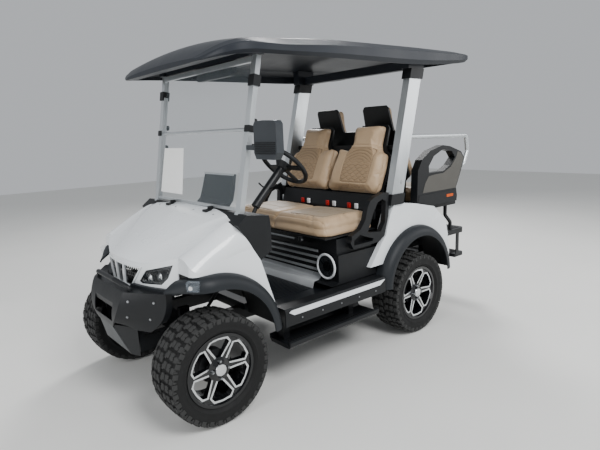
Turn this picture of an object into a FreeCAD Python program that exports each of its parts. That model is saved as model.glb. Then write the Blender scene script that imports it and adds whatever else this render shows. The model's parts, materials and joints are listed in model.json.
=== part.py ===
import FreeCAD, Part
import math
import os
from types import SimpleNamespace

import Sketcher
from FreeCAD import Placement, Rotation, Vector

# Four-seat golf cart with a rear-facing back seat.
# Frame: millimetres, +X is the cart's left, the front faces -Y, +Z is up.
# The origin is on the floor, on the centre plane, at mid length.

SIZES = [
    # name, value, meaning
    ("front_axle_y", -1170, "front axle line"),
    ("wheelbase", 1680, "front axle to rear axle"),
    ("track_half", 530, "centre plane to tyre centre"),
    ("tyre_radius", 292, "23 inch tyre, over the lugs"),
    ("tyre_width", 232, "tyre section, over the shoulder lugs"),
    ("lug_height", 11, "lug above the carcass"),
    ("lug_count", 18, "lugs round each shoulder"),
    ("rim_radius", 195, "rim lip"),
    ("rim_width", 196, "rim over its lips"),
    ("rim_wall", 6, "rim barrel wall"),
    ("spoke_count", 6, "windows of a rim"),
    ("hub_radius", 52, "wheel centre boss"),
    ("lug_nuts", 4, "wheel nuts"),
    ("nut_circle", 37, "wheel nut circle radius"),
    ("axle_radius", 20, "spindle in the hub"),
    ("seat", 0.3, "gap between pieces that lie on each other"),
    ("kingpin_radius", 14, "kingpin"),
    ("steer_arm", 100, "kingpin to tie rod, along the cart"),
    ("tie_radius", 10, "tie rod"),
    ("arch_rise", 90, "arch centre above the axle"),
    ("arch_radius", 338, "lip of a wheel arch flare"),
    ("flare_band", 72, "flare's height from lip to body"),
    ("flare_wall", 8, "flare's moulded wall"),
    ("frame_rise", 58, "axle height to the underside of the rails"),
    ("frame_height", 80, "frame rail height"),
    ("rail_width", 50, "frame rail width"),
    ("floor_thick", 40, "floor pan thickness"),
    ("sill_height", 102, "sill's outer face"),
    ("body_wall", 5, "moulded body wall"),
    ("arm_thick", 38, "front armrest across the cart"),
    ("cushion_thick", 122, "front cushion"),
    ("rear_cushion_thick", 95, "rear cushion"),
    ("hinge_pin", 6, "seat hinge pin"),
    ("back_thick", 75, "backrest cushion"),
    ("back_lean", 21, "front backrest from upright"),
    ("rear_back_lean", 17.5, "rear backrest from upright"),
    ("steer_radius", 160, "steering wheel's grip circle"),
    ("steer_grip", 14, "steering wheel's grip radius"),
    ("column_angle", 45, "steering column above level"),
    ("post_width", 42, "windscreen post width"),
    ("post_depth", 30, "windscreen post depth"),
    ("pane", 5, "windscreen pane thickness"),
    ("pillar_deep", 54, "rear pillar across the cart"),
    ("pillar_long", 122, "rear pillar along the cart"),
    ("head_room", 945, "front cushion to the roof's underside"),
    ("roof_wall", 12, "roof moulding wall"),
    ("grab_radius", 17, "rear grab rail tube"),
    ("slat_count", 4, "slats on the seat base"),
    ("speaker_radius", 88, "speaker ring"),
    ("plate_thick", 40, "rear footplate"),
    ("hitch_radius", 10, "hitch pin hole"),
    ("hitch_thick", 12, "hitch plate"),
]


class Size(float):
    """A number that also carries the sheet expression it comes from."""

    def __new__(cls, value, text):
        size = super().__new__(cls, value)
        size.text = text
        return size

    def __add__(self, other):
        return Size(float(self) + float(other), f"({self.text} + {text_of(other)})")

    def __radd__(self, other):
        return Size(float(other) + float(self), f"({text_of(other)} + {self.text})")

    def __sub__(self, other):
        return Size(float(self) - float(other), f"({self.text} - {text_of(other)})")

    def __rsub__(self, other):
        return Size(float(other) - float(self), f"({text_of(other)} - {self.text})")

    def __mul__(self, other):
        return Size(float(self) * float(other), f"({self.text} * {text_of(other)})")

    def __rmul__(self, other):
        return Size(float(other) * float(self), f"({text_of(other)} * {self.text})")

    def __truediv__(self, other):
        return Size(float(self) / float(other), f"({self.text} / {text_of(other)})")

    def __neg__(self):
        return Size(-float(self), f"(-{self.text})")


def text_of(value):
    return value.text if isinstance(value, Size) else repr(float(value))


doc = FreeCAD.newDocument("GolfCart")
sheet = doc.addObject("Spreadsheet::Sheet", "Sizes")
for row, (name, value, meaning) in enumerate(SIZES, start=1):
    sheet.set(f"A{row}", meaning)
    sheet.set(f"B{row}", str(value))
    sheet.setAlias(f"B{row}", name)
doc.recompute()
dim = SimpleNamespace(**{name: Size(value, f"Sizes.{name}") for name, value, meaning in SIZES})

nodes = []
X, Y, Z = "X", "Y", "Z"
PLANES = {X: "YZ_Plane", Y: "XZ_Plane", Z: "XY_Plane"}


def bind(target, path, value):
    """Tie one property to the sheet."""
    target.setExpression(path, text_of(value))


def node(thing, label):
    """Name a finished sub-part and list it for export."""
    thing.Label = label
    nodes.append(thing)
    return thing


def place(thing, spot, rotation=Rotation()):
    """Move a piece to a spot, each coordinate tied to the sheet."""
    thing.Placement = Placement(Vector(*spot), rotation)
    for axis, value in zip("xyz", spot):
        bind(thing, f"Placement.Base.{axis}", value)


def new_body(label):
    body = doc.addObject("PartDesign::Body", label)
    body.Label = label
    return body


def sketch_on(body, axis, level):
    """An empty sketch square to one axis of the body, at a level along it."""
    plane = next(f for f in body.Origin.OriginFeatures if f.Role == PLANES[axis])
    sketch = body.newObject("Sketcher::SketchObject", body.Label + "_sketch")
    sketch.AttachmentSupport = [(plane, "")]
    sketch.MapMode = "FlatFace"
    bind(sketch, "AttachmentOffset.Base.z", 0.0 - level if axis == Y else level)
    return sketch


def dimension(sketch, kind, element, point, value):
    index = sketch.addConstraint(Sketcher.Constraint(kind, -1, 1, element, point, float(value)))
    sketch.setExpression(f"Constraints[{index}]", text_of(value))


def draw_circle(sketch, x, y, radius):
    circle = sketch.addGeometry(Part.Circle(Vector(x, y, 0), Vector(0, 0, 1), float(radius)), False)
    dimension(sketch, "DistanceX", circle, 3, x)
    dimension(sketch, "DistanceY", circle, 3, y)
    index = sketch.addConstraint(Sketcher.Constraint("Radius", circle, float(radius)))
    sketch.setExpression(f"Constraints[{index}]", text_of(radius))


def draw(sketch, outline):
    """A closed outline. A corner is (x, y), or (x, y, via) where an arc leaves through via."""
    ends = []
    for here, there in zip(outline, outline[1:] + outline[:1]):
        start, stop = Vector(here[0], here[1], 0), Vector(there[0], there[1], 0)
        if len(here) == 2:
            edge = sketch.addGeometry(Part.LineSegment(start, stop), False)
            ends.append((edge, 1, 2))
            continue
        via = Vector(here[2][0], here[2][1], 0)
        forward = (via - start).cross(stop - start).z > 0
        arc = Part.Arc(start, via, stop) if forward else Part.Arc(stop, via, start)
        edge = sketch.addGeometry(arc, False)
        ends.append((edge, 1, 2) if forward else (edge, 2, 1))
        point = sketch.addGeometry(Part.Point(via), True)
        sketch.addConstraint(Sketcher.Constraint("PointOnObject", point, 1, edge))
        dimension(sketch, "DistanceX", point, 1, here[2][0])
        dimension(sketch, "DistanceY", point, 1, here[2][1])
    for (edge, _, tail), (after, head, _) in zip(ends, ends[1:] + ends[:1]):
        sketch.addConstraint(Sketcher.Constraint("Coincident", edge, tail, after, head))
    for (edge, head, _), corner in zip(ends, outline):
        dimension(sketch, "DistanceX", edge, head, corner[0])
        dimension(sketch, "DistanceY", edge, head, corner[1])


def pad(body, axis, outlines, low, high, cut=False):
    """Extrude outlines along an axis from low to high, or cut them out."""
    sketch = sketch_on(body, axis, high if axis == Y else low)
    for outline in outlines:
        if len(outline) == 3 and not isinstance(outline[0], tuple):
            draw_circle(sketch, *outline)
        else:
            draw(sketch, outline)
    feature = body.newObject("PartDesign::Pocket" if cut else "PartDesign::Pad", body.Label + "_step")
    feature.Profile = sketch
    bind(feature, "Length", high - low)
    feature.Reversed = cut
    return feature


def turn(body, outline, sweep=360, about="H_Axis"):
    """Revolve an (x, z) outline about the body's own X axis, or about Z for V_Axis."""
    sketch = sketch_on(body, Y, 0.0)
    draw(sketch, outline)
    feature = body.newObject("PartDesign::Revolution", body.Label + "_turn")
    feature.Profile = sketch
    feature.ReferenceAxis = (sketch, [about])
    feature.Angle = sweep
    return feature


def prism(label, axis, outlines, low, high):
    """A straight-sided piece: an outline and the holes in it."""
    body = new_body(label)
    pad(body, axis, outlines, low, high)
    return body


def repeat(body, features, count):
    """Repeat features round the body's own X axis."""
    doc.recompute()
    axis = next(f for f in body.Origin.OriginFeatures if f.Role == "X_Axis")
    pattern = body.newObject("PartDesign::PolarPattern", body.Label + "_ring")
    pattern.Originals = features
    pattern.Axis = (axis, [""])
    pattern.Angle = 360
    bind(pattern, "Occurrences", count)
    body.Tip = pattern
    return pattern


def loft(body, axis, stations):
    """Loft through (level, outline) stations."""
    sketches = []
    for level, outline in stations:
        sketch = sketch_on(body, axis, level)
        draw(sketch, outline)
        sketches.append(sketch)
    feature = body.newObject("PartDesign::AdditiveLoft", body.Label + "_loft")
    feature.Profile = sketches[0]
    feature.Sections = sketches[1:]
    return feature


def box(label, x, y, z):
    """A block between (low, high) pairs along each axis."""
    block = doc.addObject("Part::Box", label)
    for (low, high), length, axis in ((x, "Length", "x"), (y, "Width", "y"), (z, "Height", "z")):
        bind(block, length, high - low)
        bind(block, f"Placement.Base.{axis}", low)
    return block


def rod(label, start, stop, radius):
    """A round bar between two points."""
    begin, end = Vector(*start), Vector(*stop)
    bar = doc.addObject("Part::Feature", label)
    bar.Shape = Part.makeCylinder(float(radius), (end - begin).Length, begin, end - begin)
    return bar


def bar(label, start, stop, width, depth, across=(1, 0, 0)):
    """A rectangular bar between two points, its width measured across."""
    begin, end = Vector(*start), Vector(*stop)
    run = end - begin
    side = Vector(*across) * (float(width) / 2)
    face = run.cross(Vector(*across)).normalize() * (float(depth) / 2)
    corners = [begin + side + face, begin - side + face, begin - side - face, begin + side - face]
    beam = doc.addObject("Part::Feature", label)
    beam.Shape = Part.Face(Part.makePolygon(corners + corners[:1])).extrude(run)
    return beam


def bent_path(points, bend):
    """A wire of straight runs joined by arcs of one bend radius."""
    spots = [Vector(*p) for p in points]
    edges, here = [], spots[0]
    for before, corner, after in zip(spots, spots[1:], spots[2:]):
        back, ahead = (before - corner).normalize(), (after - corner).normalize()
        half = math.acos(max(-1.0, min(1.0, back.dot(ahead)))) / 2
        reach = float(bend) / math.tan(half)
        middle = (back + ahead).normalize() * (float(bend) / math.sin(half))
        centre = corner + middle
        first, last = corner + back * reach, corner + ahead * reach
        edges.append(Part.LineSegment(here, first).toShape())
        edges.append(Part.Arc(first, centre - middle.normalize() * float(bend), last).toShape())
        here = last
    edges.append(Part.LineSegment(here, spots[-1]).toShape())
    return Part.Wire(edges)


def tube(label, points, bend, radius):
    """A bent round tube along a path of points."""
    path = bent_path(points, bend)
    start, ahead = Vector(*points[0]), Vector(*points[1]) - Vector(*points[0])
    ring = Part.Wire([Part.makeCircle(float(radius), start, ahead)])
    pipe = doc.addObject("Part::Feature", label)
    pipe.Shape = path.makePipeShell([ring], True, False)
    return pipe


def fuse(label, parts):
    joined = doc.addObject("Part::MultiFuse", label)
    joined.Shapes = parts
    joined.Refine = True
    return joined


def cut(label, base, tool):
    result = doc.addObject("Part::Cut", label)
    result.Base = base
    result.Tool = tool
    return result


def together(label, parts):
    group = doc.addObject("Part::Compound", label)
    group.Links = parts
    return group


def mirrored(label, part):
    """The same piece on the cart's other side."""
    twin = doc.addObject("Part::Mirroring", label)
    twin.Source = part
    twin.Base = (0, 0, 0)
    twin.Normal = (1, 0, 0)
    return twin


def pair(label, part):
    """A piece and its twin as one node of two solids."""
    return node(together(label, [part, mirrored(label + "_right", part)]), label)


# Layout
# The tables below give places on the cart as drawn, with its axles and tyres on these
# lines. Four small functions carry a place along when a main size changes.

DRAWN_FRONT, DRAWN_REAR, DRAWN_AXLE, DRAWN_TRACK = -1170, 510, 292, 530

rear_axle_y = dim.front_axle_y + dim.wheelbase
axle_z = dim.tyre_radius
seat = dim.seat


def front(y):
    """A place along the cart that keeps its distance to the front axle."""
    return dim.front_axle_y + (y - DRAWN_FRONT)


def rear(y):
    """A place along the cart that keeps its distance to the rear axle."""
    return rear_axle_y + (y - DRAWN_REAR)


def up(z):
    """A height that keeps its distance to the axles."""
    return axle_z + (z - DRAWN_AXLE)


def out(x):
    """A place across the cart that keeps its distance to its tyre."""
    if abs(x) < 100:
        return float(x)
    step = dim.track_half - DRAWN_TRACK
    return x + step if x > 0 else x - step


def carry(outline, first, second):
    """A whole outline carried along, arcs included."""
    return [
        (first(a), second(b)) + tuple((first(c), second(d)) for c, d in via)
        for a, b, *via in outline
    ]


arch_z = axle_z + dim.arch_rise
flare_radius = dim.arch_radius + dim.flare_band
flare_in = out(552)
flare_out = out(655)
well_radius = flare_radius + seat
body_x = out(589)
frame_low = axle_z + dim.frame_rise
frame_high = frame_low + dim.frame_height
floor_high = frame_high + dim.floor_thick
cushion_low = up(803)
cushion_high = cushion_low + dim.cushion_thick
roof_low = cushion_high + dim.head_room
kingpin_x = out(448)
FLARE_START, FLARE_END = 4, 176


# Wheels

def make_tyre(label):
    """Tyre about its own X axis, with a row of lugs round each shoulder."""
    half = dim.tyre_width / 2
    carcass = dim.tyre_radius - dim.lug_height
    bead = dim.rim_radius - 14 + seat
    body = new_body(label)
    turn(body, [
        (-half + 30, bead), (half - 30, bead), (half - 25, bead + 14, (half - 5, bead + 50)),
        (half - 12, carcass - 26), (half - 34, carcass),
        (-half + 34, carcass), (-half + 12, carcass - 26, (-half + 5, bead + 50)),
        (-half + 25, bead + 14),
    ])
    lug = 46
    low = carcass - 10
    lugs = [
        pad(body, Z, [[
            (side * (half - 66), -lug / 2 + twist), (side * (half - 8), -lug / 2),
            (side * half, 0.0 - lug / 2 + 8), (side * half, lug / 2 - 8),
            (side * (half - 8), lug / 2), (side * (half - 66), lug / 2 + twist),
        ]], low, dim.tyre_radius)
        for side, twist in ((1, 12), (-1, -12))
    ]
    repeat(body, lugs, dim.lug_count)
    return body


def make_rim(label):
    """Alloy rim about its own X axis, its face towards +X."""
    half = dim.rim_width / 2
    barrel = dim.rim_radius - 14
    face = half - 46
    body = new_body(label)
    turn(body, [
        (-half, barrel - dim.rim_wall), (face - 6, barrel - dim.rim_wall), (face - 6, 0.0),
        (half - 16, 0.0), (half - 16, dim.hub_radius * 0.55), (half - 24, dim.hub_radius),
        (half - 28, dim.hub_radius + 14), (half - 12, barrel - dim.rim_wall), (half, barrel - 2),
        (half, dim.rim_radius), (half - 6, dim.rim_radius), (half - 6, barrel),
        (-half + 6, barrel), (-half + 6, dim.rim_radius), (-half, dim.rim_radius),
    ])
    window = pad(body, X, [[
        (-13, dim.hub_radius + 12), (13, dim.hub_radius + 12), (62, barrel - 44),
        (46, barrel - 24), (0.0, barrel - 18), (-46, barrel - 24), (-62, barrel - 44),
    ]], face - 20, half, cut=True)
    repeat(body, [window], dim.spoke_count)
    nut = pad(body, X, [(0.0, dim.nut_circle, 9)], face, half - 8)
    repeat(body, [nut], dim.lug_nuts)
    pad(body, X, [(0.0, 0.0, dim.axle_radius + seat)], face - 20, half - 34, cut=True)
    return body


WHEELS = [
    # name, side, axle line
    ("front_left", 1, dim.front_axle_y),
    ("front_right", -1, dim.front_axle_y),
    ("rear_left", 1, rear_axle_y),
    ("rear_right", -1, rear_axle_y),
]
for name, side, axle_y in WHEELS:
    for kind, make in (("tyre", make_tyre), ("rim", make_rim)):
        label = f"{kind}_{name}"
        piece = node(make(label), label)
        place(piece, (side * dim.track_half, axle_y, axle_z), Rotation(Vector(0, 0, 1), 0 if side > 0 else 180))

# Frame

rail_in = out(190)
rail_out = rail_in + dim.rail_width
rack_y = dim.front_axle_y + dim.steer_arm
rack_z = up(282)
hanger_low = up(251)
CROSS_MEMBERS = [
    # line it follows, front edge, rear edge
    (front, -1390, -1340),
    (front, -1255, -1085),
    (front, -700, -650),
    (rear, -150, -100),
    (rear, 250, 300),
    (rear, 900, 950),
    (rear, 1080, 1130),
]
pair("frame_rails", box("rail", (rail_in, rail_out), (front(-1425), rear(1180)), (frame_low, frame_high)))
cross_members = [
    box("cross_member", (-rail_in, rail_in), (line(near), line(far)), (frame_low, frame_high))
    for line, near, far in CROSS_MEMBERS]
outriggers = [
    box("outrigger", (rail_out, out(540)), (line(near), line(far)), (frame_low + 40, frame_high))
    for line, near, far in ((front, -700, -640), (rear, -150, -90))]
node(together("frame_members_all", [
    *cross_members, *outriggers, *[mirrored("outrigger_right", part) for part in outriggers]]), "frame_members")
subframe = box("subframe", (-150, 150), (front(-1235), front(-1086)), (frame_low - 95, frame_low))
rack = rod("rack_housing", (-130, rack_y, rack_z), (130, rack_y, rack_z), 24)
rack_bore = rod("rack_bore", (-140, rack_y, rack_z), (140, rack_y, rack_z), dim.tie_radius + seat)
node(cut("front_subframe", fuse("subframe_solid", [subframe, rack]), rack_bore), "front_subframe")
pair("frame_brackets", together("brackets_left", [
    box("shock_tower", (rail_out, rail_out + 30), (front(-1200), front(-1140)), (frame_low, up(540))),
    box("spring_hanger", (rail_in, rail_out), (rear(150), rear(190)), (hanger_low, frame_low)),
    box("spring_shackle", (rail_in, rail_out), (rear(830), rear(870)), (hanger_low, frame_low)),
    box("plate_upright", (rail_in, rail_out), (rear(1120), rear(1170)), (frame_high, up(585))),
    box("nose_upright", (rail_in, rail_out), (front(-1425), front(-1395)), (frame_high, up(660))),
]))
hitch = box("hitch_bar", (-40, 40), (rear(1130), rear(1240)), (frame_low, frame_low + dim.hitch_thick))
hitch_hole = rod("hitch_hole", (0, rear(1215), frame_low - 10), (0, rear(1215), frame_low + 40), dim.hitch_radius)
node(cut("hitch_plate", hitch, hitch_hole), "hitch_plate")

# Front suspension, knuckles and steering

pin_low, pin_high = up(222), up(362)
shock_x = out(345)
pair("front_suspension", fuse("suspension_left", [
    prism("lower_arm", Z, [carry([
        (150, -1235), (468, -1188), (468, -1152), (150, -1105), (150, -1135), (370, -1162), (370, -1178),
        (150, -1205)], lambda x: out(x) if x > 150 else 150.0, front)], pin_low, pin_low + 18),
    box("arm_pivot", (150, 176), (front(-1235), front(-1105)), (pin_low - 6, up(255))),
    prism("upper_arm", Z, [[
        (rail_out + 30, front(-1200)), (kingpin_x + 18, front(-1186)), (kingpin_x + 18, front(-1154)),
        (rail_out + 30, front(-1140))]], pin_high - 16, pin_high),
    rod("kingpin", (kingpin_x, dim.front_axle_y, pin_low + 2), (kingpin_x, dim.front_axle_y, pin_high - 2),
        dim.kingpin_radius),
    rod("shock_tube", (shock_x, dim.front_axle_y, up(236)), (shock_x, dim.front_axle_y, up(520)), 16),
    rod("shock_spring", (shock_x, dim.front_axle_y, up(300)), (shock_x, dim.front_axle_y, up(490)), 30),
    box("shock_top", (rail_out + 30, shock_x + 16), (front(-1186), front(-1154)), (up(500), up(520))),
]))


def make_knuckle(label):
    """Left steering knuckle: sleeve, spindle, brake drum and steering arm."""
    body = fuse(label + "_solid", [
        rod("sleeve", (kingpin_x, dim.front_axle_y, pin_low + 23), (kingpin_x, dim.front_axle_y, pin_high - 21), 27),
        rod("spindle", (kingpin_x, dim.front_axle_y, axle_z), (out(588), dim.front_axle_y, axle_z), dim.axle_radius),
        rod("brake_drum", (out(492), dim.front_axle_y, axle_z), (out(548), dim.front_axle_y, axle_z), 88),
        box("steer_arm", (kingpin_x - 16, kingpin_x + 12), (dim.front_axle_y + 10, rack_y + 16),
            (rack_z + 14, rack_z + 30)),
    ])
    bore = rod(label + "_bore", (kingpin_x, dim.front_axle_y, pin_low), (kingpin_x, dim.front_axle_y, pin_high),
               dim.kingpin_radius + seat)
    return cut(label, body, bore)


knuckle_left = node(make_knuckle("knuckle_left"), "knuckle_left")
node(mirrored("knuckle_right", knuckle_left), "knuckle_right")

tie_end = kingpin_x - 2
node(fuse("tie_rod", [
    rod("tie_bar", (-tie_end, rack_y, rack_z), (tie_end, rack_y, rack_z), dim.tie_radius),
    rod("tie_ball_left", (tie_end, rack_y, rack_z - 12), (tie_end, rack_y, rack_z + 12), 15),
    rod("tie_ball_right", (-tie_end, rack_y, rack_z - 12), (-tie_end, rack_y, rack_z + 12), 15),
]), "tie_rod")

steer_x, steer_y, steer_z = out(270), front(-425), up(1273)
lean = math.radians(float(dim.column_angle))


def down_column(distance):
    """A point on the steering axis, a distance below the wheel's centre."""
    return (steer_x, steer_y - distance * math.cos(lean), steer_z - distance * math.sin(lean))


def make_steering_wheel():
    """Grip, hub and three flat spokes about the piece's own Z axis."""
    grip = doc.addObject("Part::Torus", "grip")
    bind(grip, "Radius1", dim.steer_radius)
    bind(grip, "Radius2", dim.steer_grip)
    hub = doc.addObject("Part::Cone", "hub")
    bind(hub, "Radius1", dim.steer_radius * 0.2)
    bind(hub, "Radius2", dim.steer_radius * 0.36)
    hub.Height = 34
    hub.Placement.Base = Vector(0, 0, -32)
    parts = [grip, hub]
    for degrees in (8, 172, 90):
        angle = math.radians(degrees)
        reach = float(dim.steer_radius)
        parts.append(bar("spoke", (0, 0, -14), (reach * math.cos(angle), reach * math.sin(angle), -2), 34, 10,
                         (-math.sin(angle), math.cos(angle), 0)))
    return fuse("steering_wheel", parts)


steering = node(make_steering_wheel(), "steering_wheel")
place(steering, (steer_x, steer_y, steer_z), Rotation(Vector(1, 0, 0), -(90 - float(dim.column_angle))))
column_foot = (steer_x, front(-850), up(700))
column_parts = [
    (down_column(32 + seat), down_column(330), 26),
    (down_column(300), column_foot, 12),
    (column_foot, (100, rack_y + 36, rack_z + 40), 10),
]
node(fuse("steering_column", [rod("column_part", a, b, radius) for a, b, radius in column_parts]), "steering_column")
column_hole = together("column_hole", [rod("column_gap", a, b, radius + seat) for a, b, radius in column_parts])

# Rear axle and motor

node(fuse("rear_axle", [
    rod("axle_tube", (-out(510), rear_axle_y, axle_z), (out(510), rear_axle_y, axle_z), 38),
    rod("axle_stub", (-out(588), rear_axle_y, axle_z), (out(588), rear_axle_y, axle_z), dim.axle_radius),
    rod("drum_left", (out(492), rear_axle_y, axle_z), (out(548), rear_axle_y, axle_z), 88),
    rod("drum_right", (-out(492), rear_axle_y, axle_z), (-out(548), rear_axle_y, axle_z), 88),
    rod("gear_case", (-70, rear_axle_y, axle_z), (90, rear_axle_y, axle_z), 88),
    rod("motor", (0, rear_axle_y + 30, axle_z - 30), (0, rear_axle_y + 330, axle_z - 30), 84),
]), "rear_axle")
leaf_low, leaf_mid = up(236), axle_z - 38
pair("rear_springs", prism("leaf", X, [[
    (rear(150), leaf_low), (rear_axle_y - 60, leaf_mid - 14), (rear_axle_y + 60, leaf_mid - 14),
    (rear(870), leaf_low), (rear(870), leaf_low + 14), (rear_axle_y + 60, leaf_mid),
    (rear_axle_y - 60, leaf_mid), (rear(150), leaf_low + 14)]], rail_in, rail_out))
node(box("battery_block", (-out(340), out(340)), (rear(-170), rear(120)), (floor_high, up(700))), "battery_block")

# Floor and sills

def wheel_gap(label, inner):
    """The round space over a front wheel, open below, from an inner side outwards."""
    line, top = dim.front_axle_y, arch_z + well_radius
    return prism(label, X, [[
        (line + well_radius, arch_z, (line + well_radius * 0.70711, arch_z + well_radius * 0.70711)),
        (line, top), (line - 500, top), (line - 500, 200.0), (line + well_radius, 200.0),
    ]], inner, out(760))


floor_front, floor_rear = front(-796), rear(168)
floor_gap = wheel_gap("floor_gap", out(299.7))
node(cut("floor_pan", prism("floor_plate", Z, [[
    (-out(557.7), floor_front), (out(557.7), floor_front),
    (out(557.7), rear(92)), (out(394), rear(92)), (out(394), floor_rear), (-out(394), floor_rear),
    (-out(394), rear(92)), (-out(557.7), rear(92))]], frame_high, floor_high), together(
        "floor_gaps", [floor_gap, mirrored("floor_gap_right", floor_gap)])), "floor_pan")
sill_low = up(406)
sill_high = sill_low + dim.sill_height
flare_reach = flare_radius * math.cos(math.radians(FLARE_START))
sill_front = dim.front_axle_y + flare_reach + seat
sill_rear = rear_axle_y - flare_reach - seat
pair("sills", prism("sill_left", Y, [[
    (out(558), sill_high - 76), (out(564), sill_high - 76), (out(564), sill_high - 6), (out(638), sill_high - 6),
    (out(644), sill_high - 14), (out(644), sill_low), (out(650), sill_low), (out(650), sill_high - 12),
    (out(640), sill_high), (out(558), sill_high),
]], sill_front, sill_rear))
pair("sill_strips", prism("strip_left", X, [[
    (sill_front + 60, sill_high - 42), (sill_rear - 60, sill_high - 42),
    (sill_rear - 12, sill_high - 12), (sill_front + 40, sill_high - 12), (sill_front + 26, sill_high - 22)]],
    out(650), out(655)))
step_front, step_rear = front(-730), rear(40)
pair("side_steps", fuse("step_left", [
    prism("step_board", Y, [[
        (out(452), up(282)), (out(470), up(262)), (out(632), up(262)), (out(644), up(276)), (out(644), up(300)),
        (out(632), up(306)), (out(632), up(284)), (out(470), up(284)), (out(452), up(306))]], step_front, step_rear),
    *[prism("step_bracket", X, [[
        (line(a), up(284)), (line(a + 46), up(284)), (line(a + 46), frame_low + 40), (line(a), frame_low + 40)]],
        out(480), out(540)) for line, a in ((front, -694), (rear, -144))],
]))

# Front body
# The nose follows one arc in plan; every piece set into it is a slice of a ring round
# that arc, cut to the piece's outline seen from the front.

def common(label, base, tool):
    result = doc.addObject("Part::Common", label)
    result.Base = base
    result.Tool = tool
    return result


def nose_ring(label, ahead, behind, low, high, half=455):
    """A band along the nose, from ahead of its face to behind it."""
    return prism(label, Z, [[
        (-out(half), front(-1277) - ahead, (0.0, front(-1402) - ahead)), (out(half), front(-1277) - ahead),
        (out(half), front(-1277) + behind, (0.0, front(-1402) + behind)), (-out(half), front(-1277) + behind),
    ]], low, high)


def inset(outline, gap):
    """An outline drawn in towards its middle."""
    middle_x = sum(float(p[0]) for p in outline) / len(outline)
    middle_z = sum(float(p[1]) for p in outline) / len(outline)
    return [
        (x - gap * (1 if float(x) > middle_x else -1), z - gap * (1 if float(z) > middle_z else -1))
        for x, z in outline
    ]


def across(outline):
    return carry(outline, out, up)


COWL_STATIONS = [
    # along the cart, shoulder start, shoulder x and z, crease x and z, crown
    (-1460, 770, 400, 788, 150, 794, 800),
    (-1300, 798, 440, 858, 190, 876, 888),
    (-1150, 835, 478, 945, 300, 966, 978),
    (-980, 872, 495, 1030, 420, 1038, 1049),
    (-780, 880, 505, 1044, 440, 1046, 1052),
]


def cowl_outline(row, wall, low):
    y, shoulder, knee_x, knee_z, crease_x, crease_z, crown = row
    half = body_x - wall
    knee_x, crease_x = out(knee_x) - wall * 0.7, out(crease_x) - wall * 0.3
    shoulder, knee_z, crease_z, crown = (up(z) - wall for z in (shoulder, knee_z, crease_z, crown))
    bulge_x = knee_x + (half - knee_x) * 0.72
    bulge_z = shoulder + (knee_z - shoulder) * 0.72
    dip_x, dip_z = (knee_x + crease_x) / 2, (knee_z + crease_z) / 2 - 5
    return [
        (0.0 - half, low), (half, low), (half, shoulder, (bulge_x, bulge_z)), (knee_x, knee_z, (dip_x, dip_z)),
        (crease_x, crease_z, (0.0, crown)), (0.0 - crease_x, crease_z, (0.0 - dip_x, dip_z)),
        (0.0 - knee_x, knee_z, (0.0 - bulge_x, bulge_z)), (0.0 - half, shoulder),
    ]


def cowl_solid(label, wall, low):
    """The nose and hood as a solid, drawn in by a wall."""
    body = new_body(label)
    loft(body, Y, [(front(row[0]), cowl_outline(row, wall, low)) for row in COWL_STATIONS])
    corner, tip = body_x - wall, front(-1240)
    face, side = front(-1277) + wall, out(552) - wall
    via_x, via_y = out(578) - wall, front(-1266) + wall * 0.7
    pad(body, Z, [[
        (-700.0, tip), (0.0 - corner, tip, (0.0 - via_x, via_y)), (0.0 - side, face),
        (0.0 - out(455), face, (0.0, front(-1402) + wall)), (out(455), face), (side, face, (via_x, via_y)),
        (corner, tip), (700.0, tip), (700.0, front(-1700)), (-700.0, front(-1700))]], 400, 1300, cut=True)
    return body


GRILLE = [(232, 804), (126, 679), (-126, 679), (-232, 804)]
GRILLE_SIDE = [(64, 795), (214, 795), (121, 688), (52, 688)]
GRILLE_MIDDLE = [(-44, 795), (44, 795), (34, 688), (-34, 688)]
LAMP = [(258, 790), (428, 834), (396, 762), (354, 723), (222, 714), (199, 723)]
POST_FOOT = [(-936, 1060), (-900, 1052), (-915, 1010), (-960, 968), (-996, 962), (-1004, 985), (-967, 1010)]

hood_rear = [
    (-out(490), front(-981), (0.0, front(-899))), (out(490), front(-981)),
    (out(490), front(-700)), (-out(490), front(-700))]
shell = cut("cowl_shell", cowl_solid("cowl_outside", 0, up(540)), cowl_solid("cowl_inside", dim.body_wall, up(530)))
side_trim = prism("side_trim", X, [carry([
    (-1010, 1150), (-1000, 1010), (-866, 803), (-784, 552), (-784, 400), (-600, 400), (-600, 1150)],
    front, up)], out(490), out(700))
well_left = wheel_gap("well_left", out(449.7))
lamp_hole = prism("lamp_hole", Y, [across(LAMP)], front(-1500), front(-1200))
foot_hole = prism("foot_hole", X, [inset(carry(POST_FOOT, front, up), -3)], out(471), out(511))
openings = together("cowl_openings", [
    side_trim, mirrored("side_trim_right", side_trim),
    well_left, mirrored("well_right", well_left),
    prism("hood_trim", Z, [hood_rear], up(700), up(1150)),
    box("nose_low", (-out(449.7), out(449.7)), (front(-1500), front(-900)), (up(500), up(706))),
    box("nose_back", (-out(580), out(580)), (front(-905), front(-700)), (up(500), up(1010))),
    prism("grille_hole", Y, [across(GRILLE)], front(-1500), front(-1200)),
    lamp_hole, mirrored("lamp_hole_right", lamp_hole),
    foot_hole, mirrored("foot_hole_right", foot_hole)])
node(cut("front_cowl", shell, openings), "front_cowl")

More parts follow.
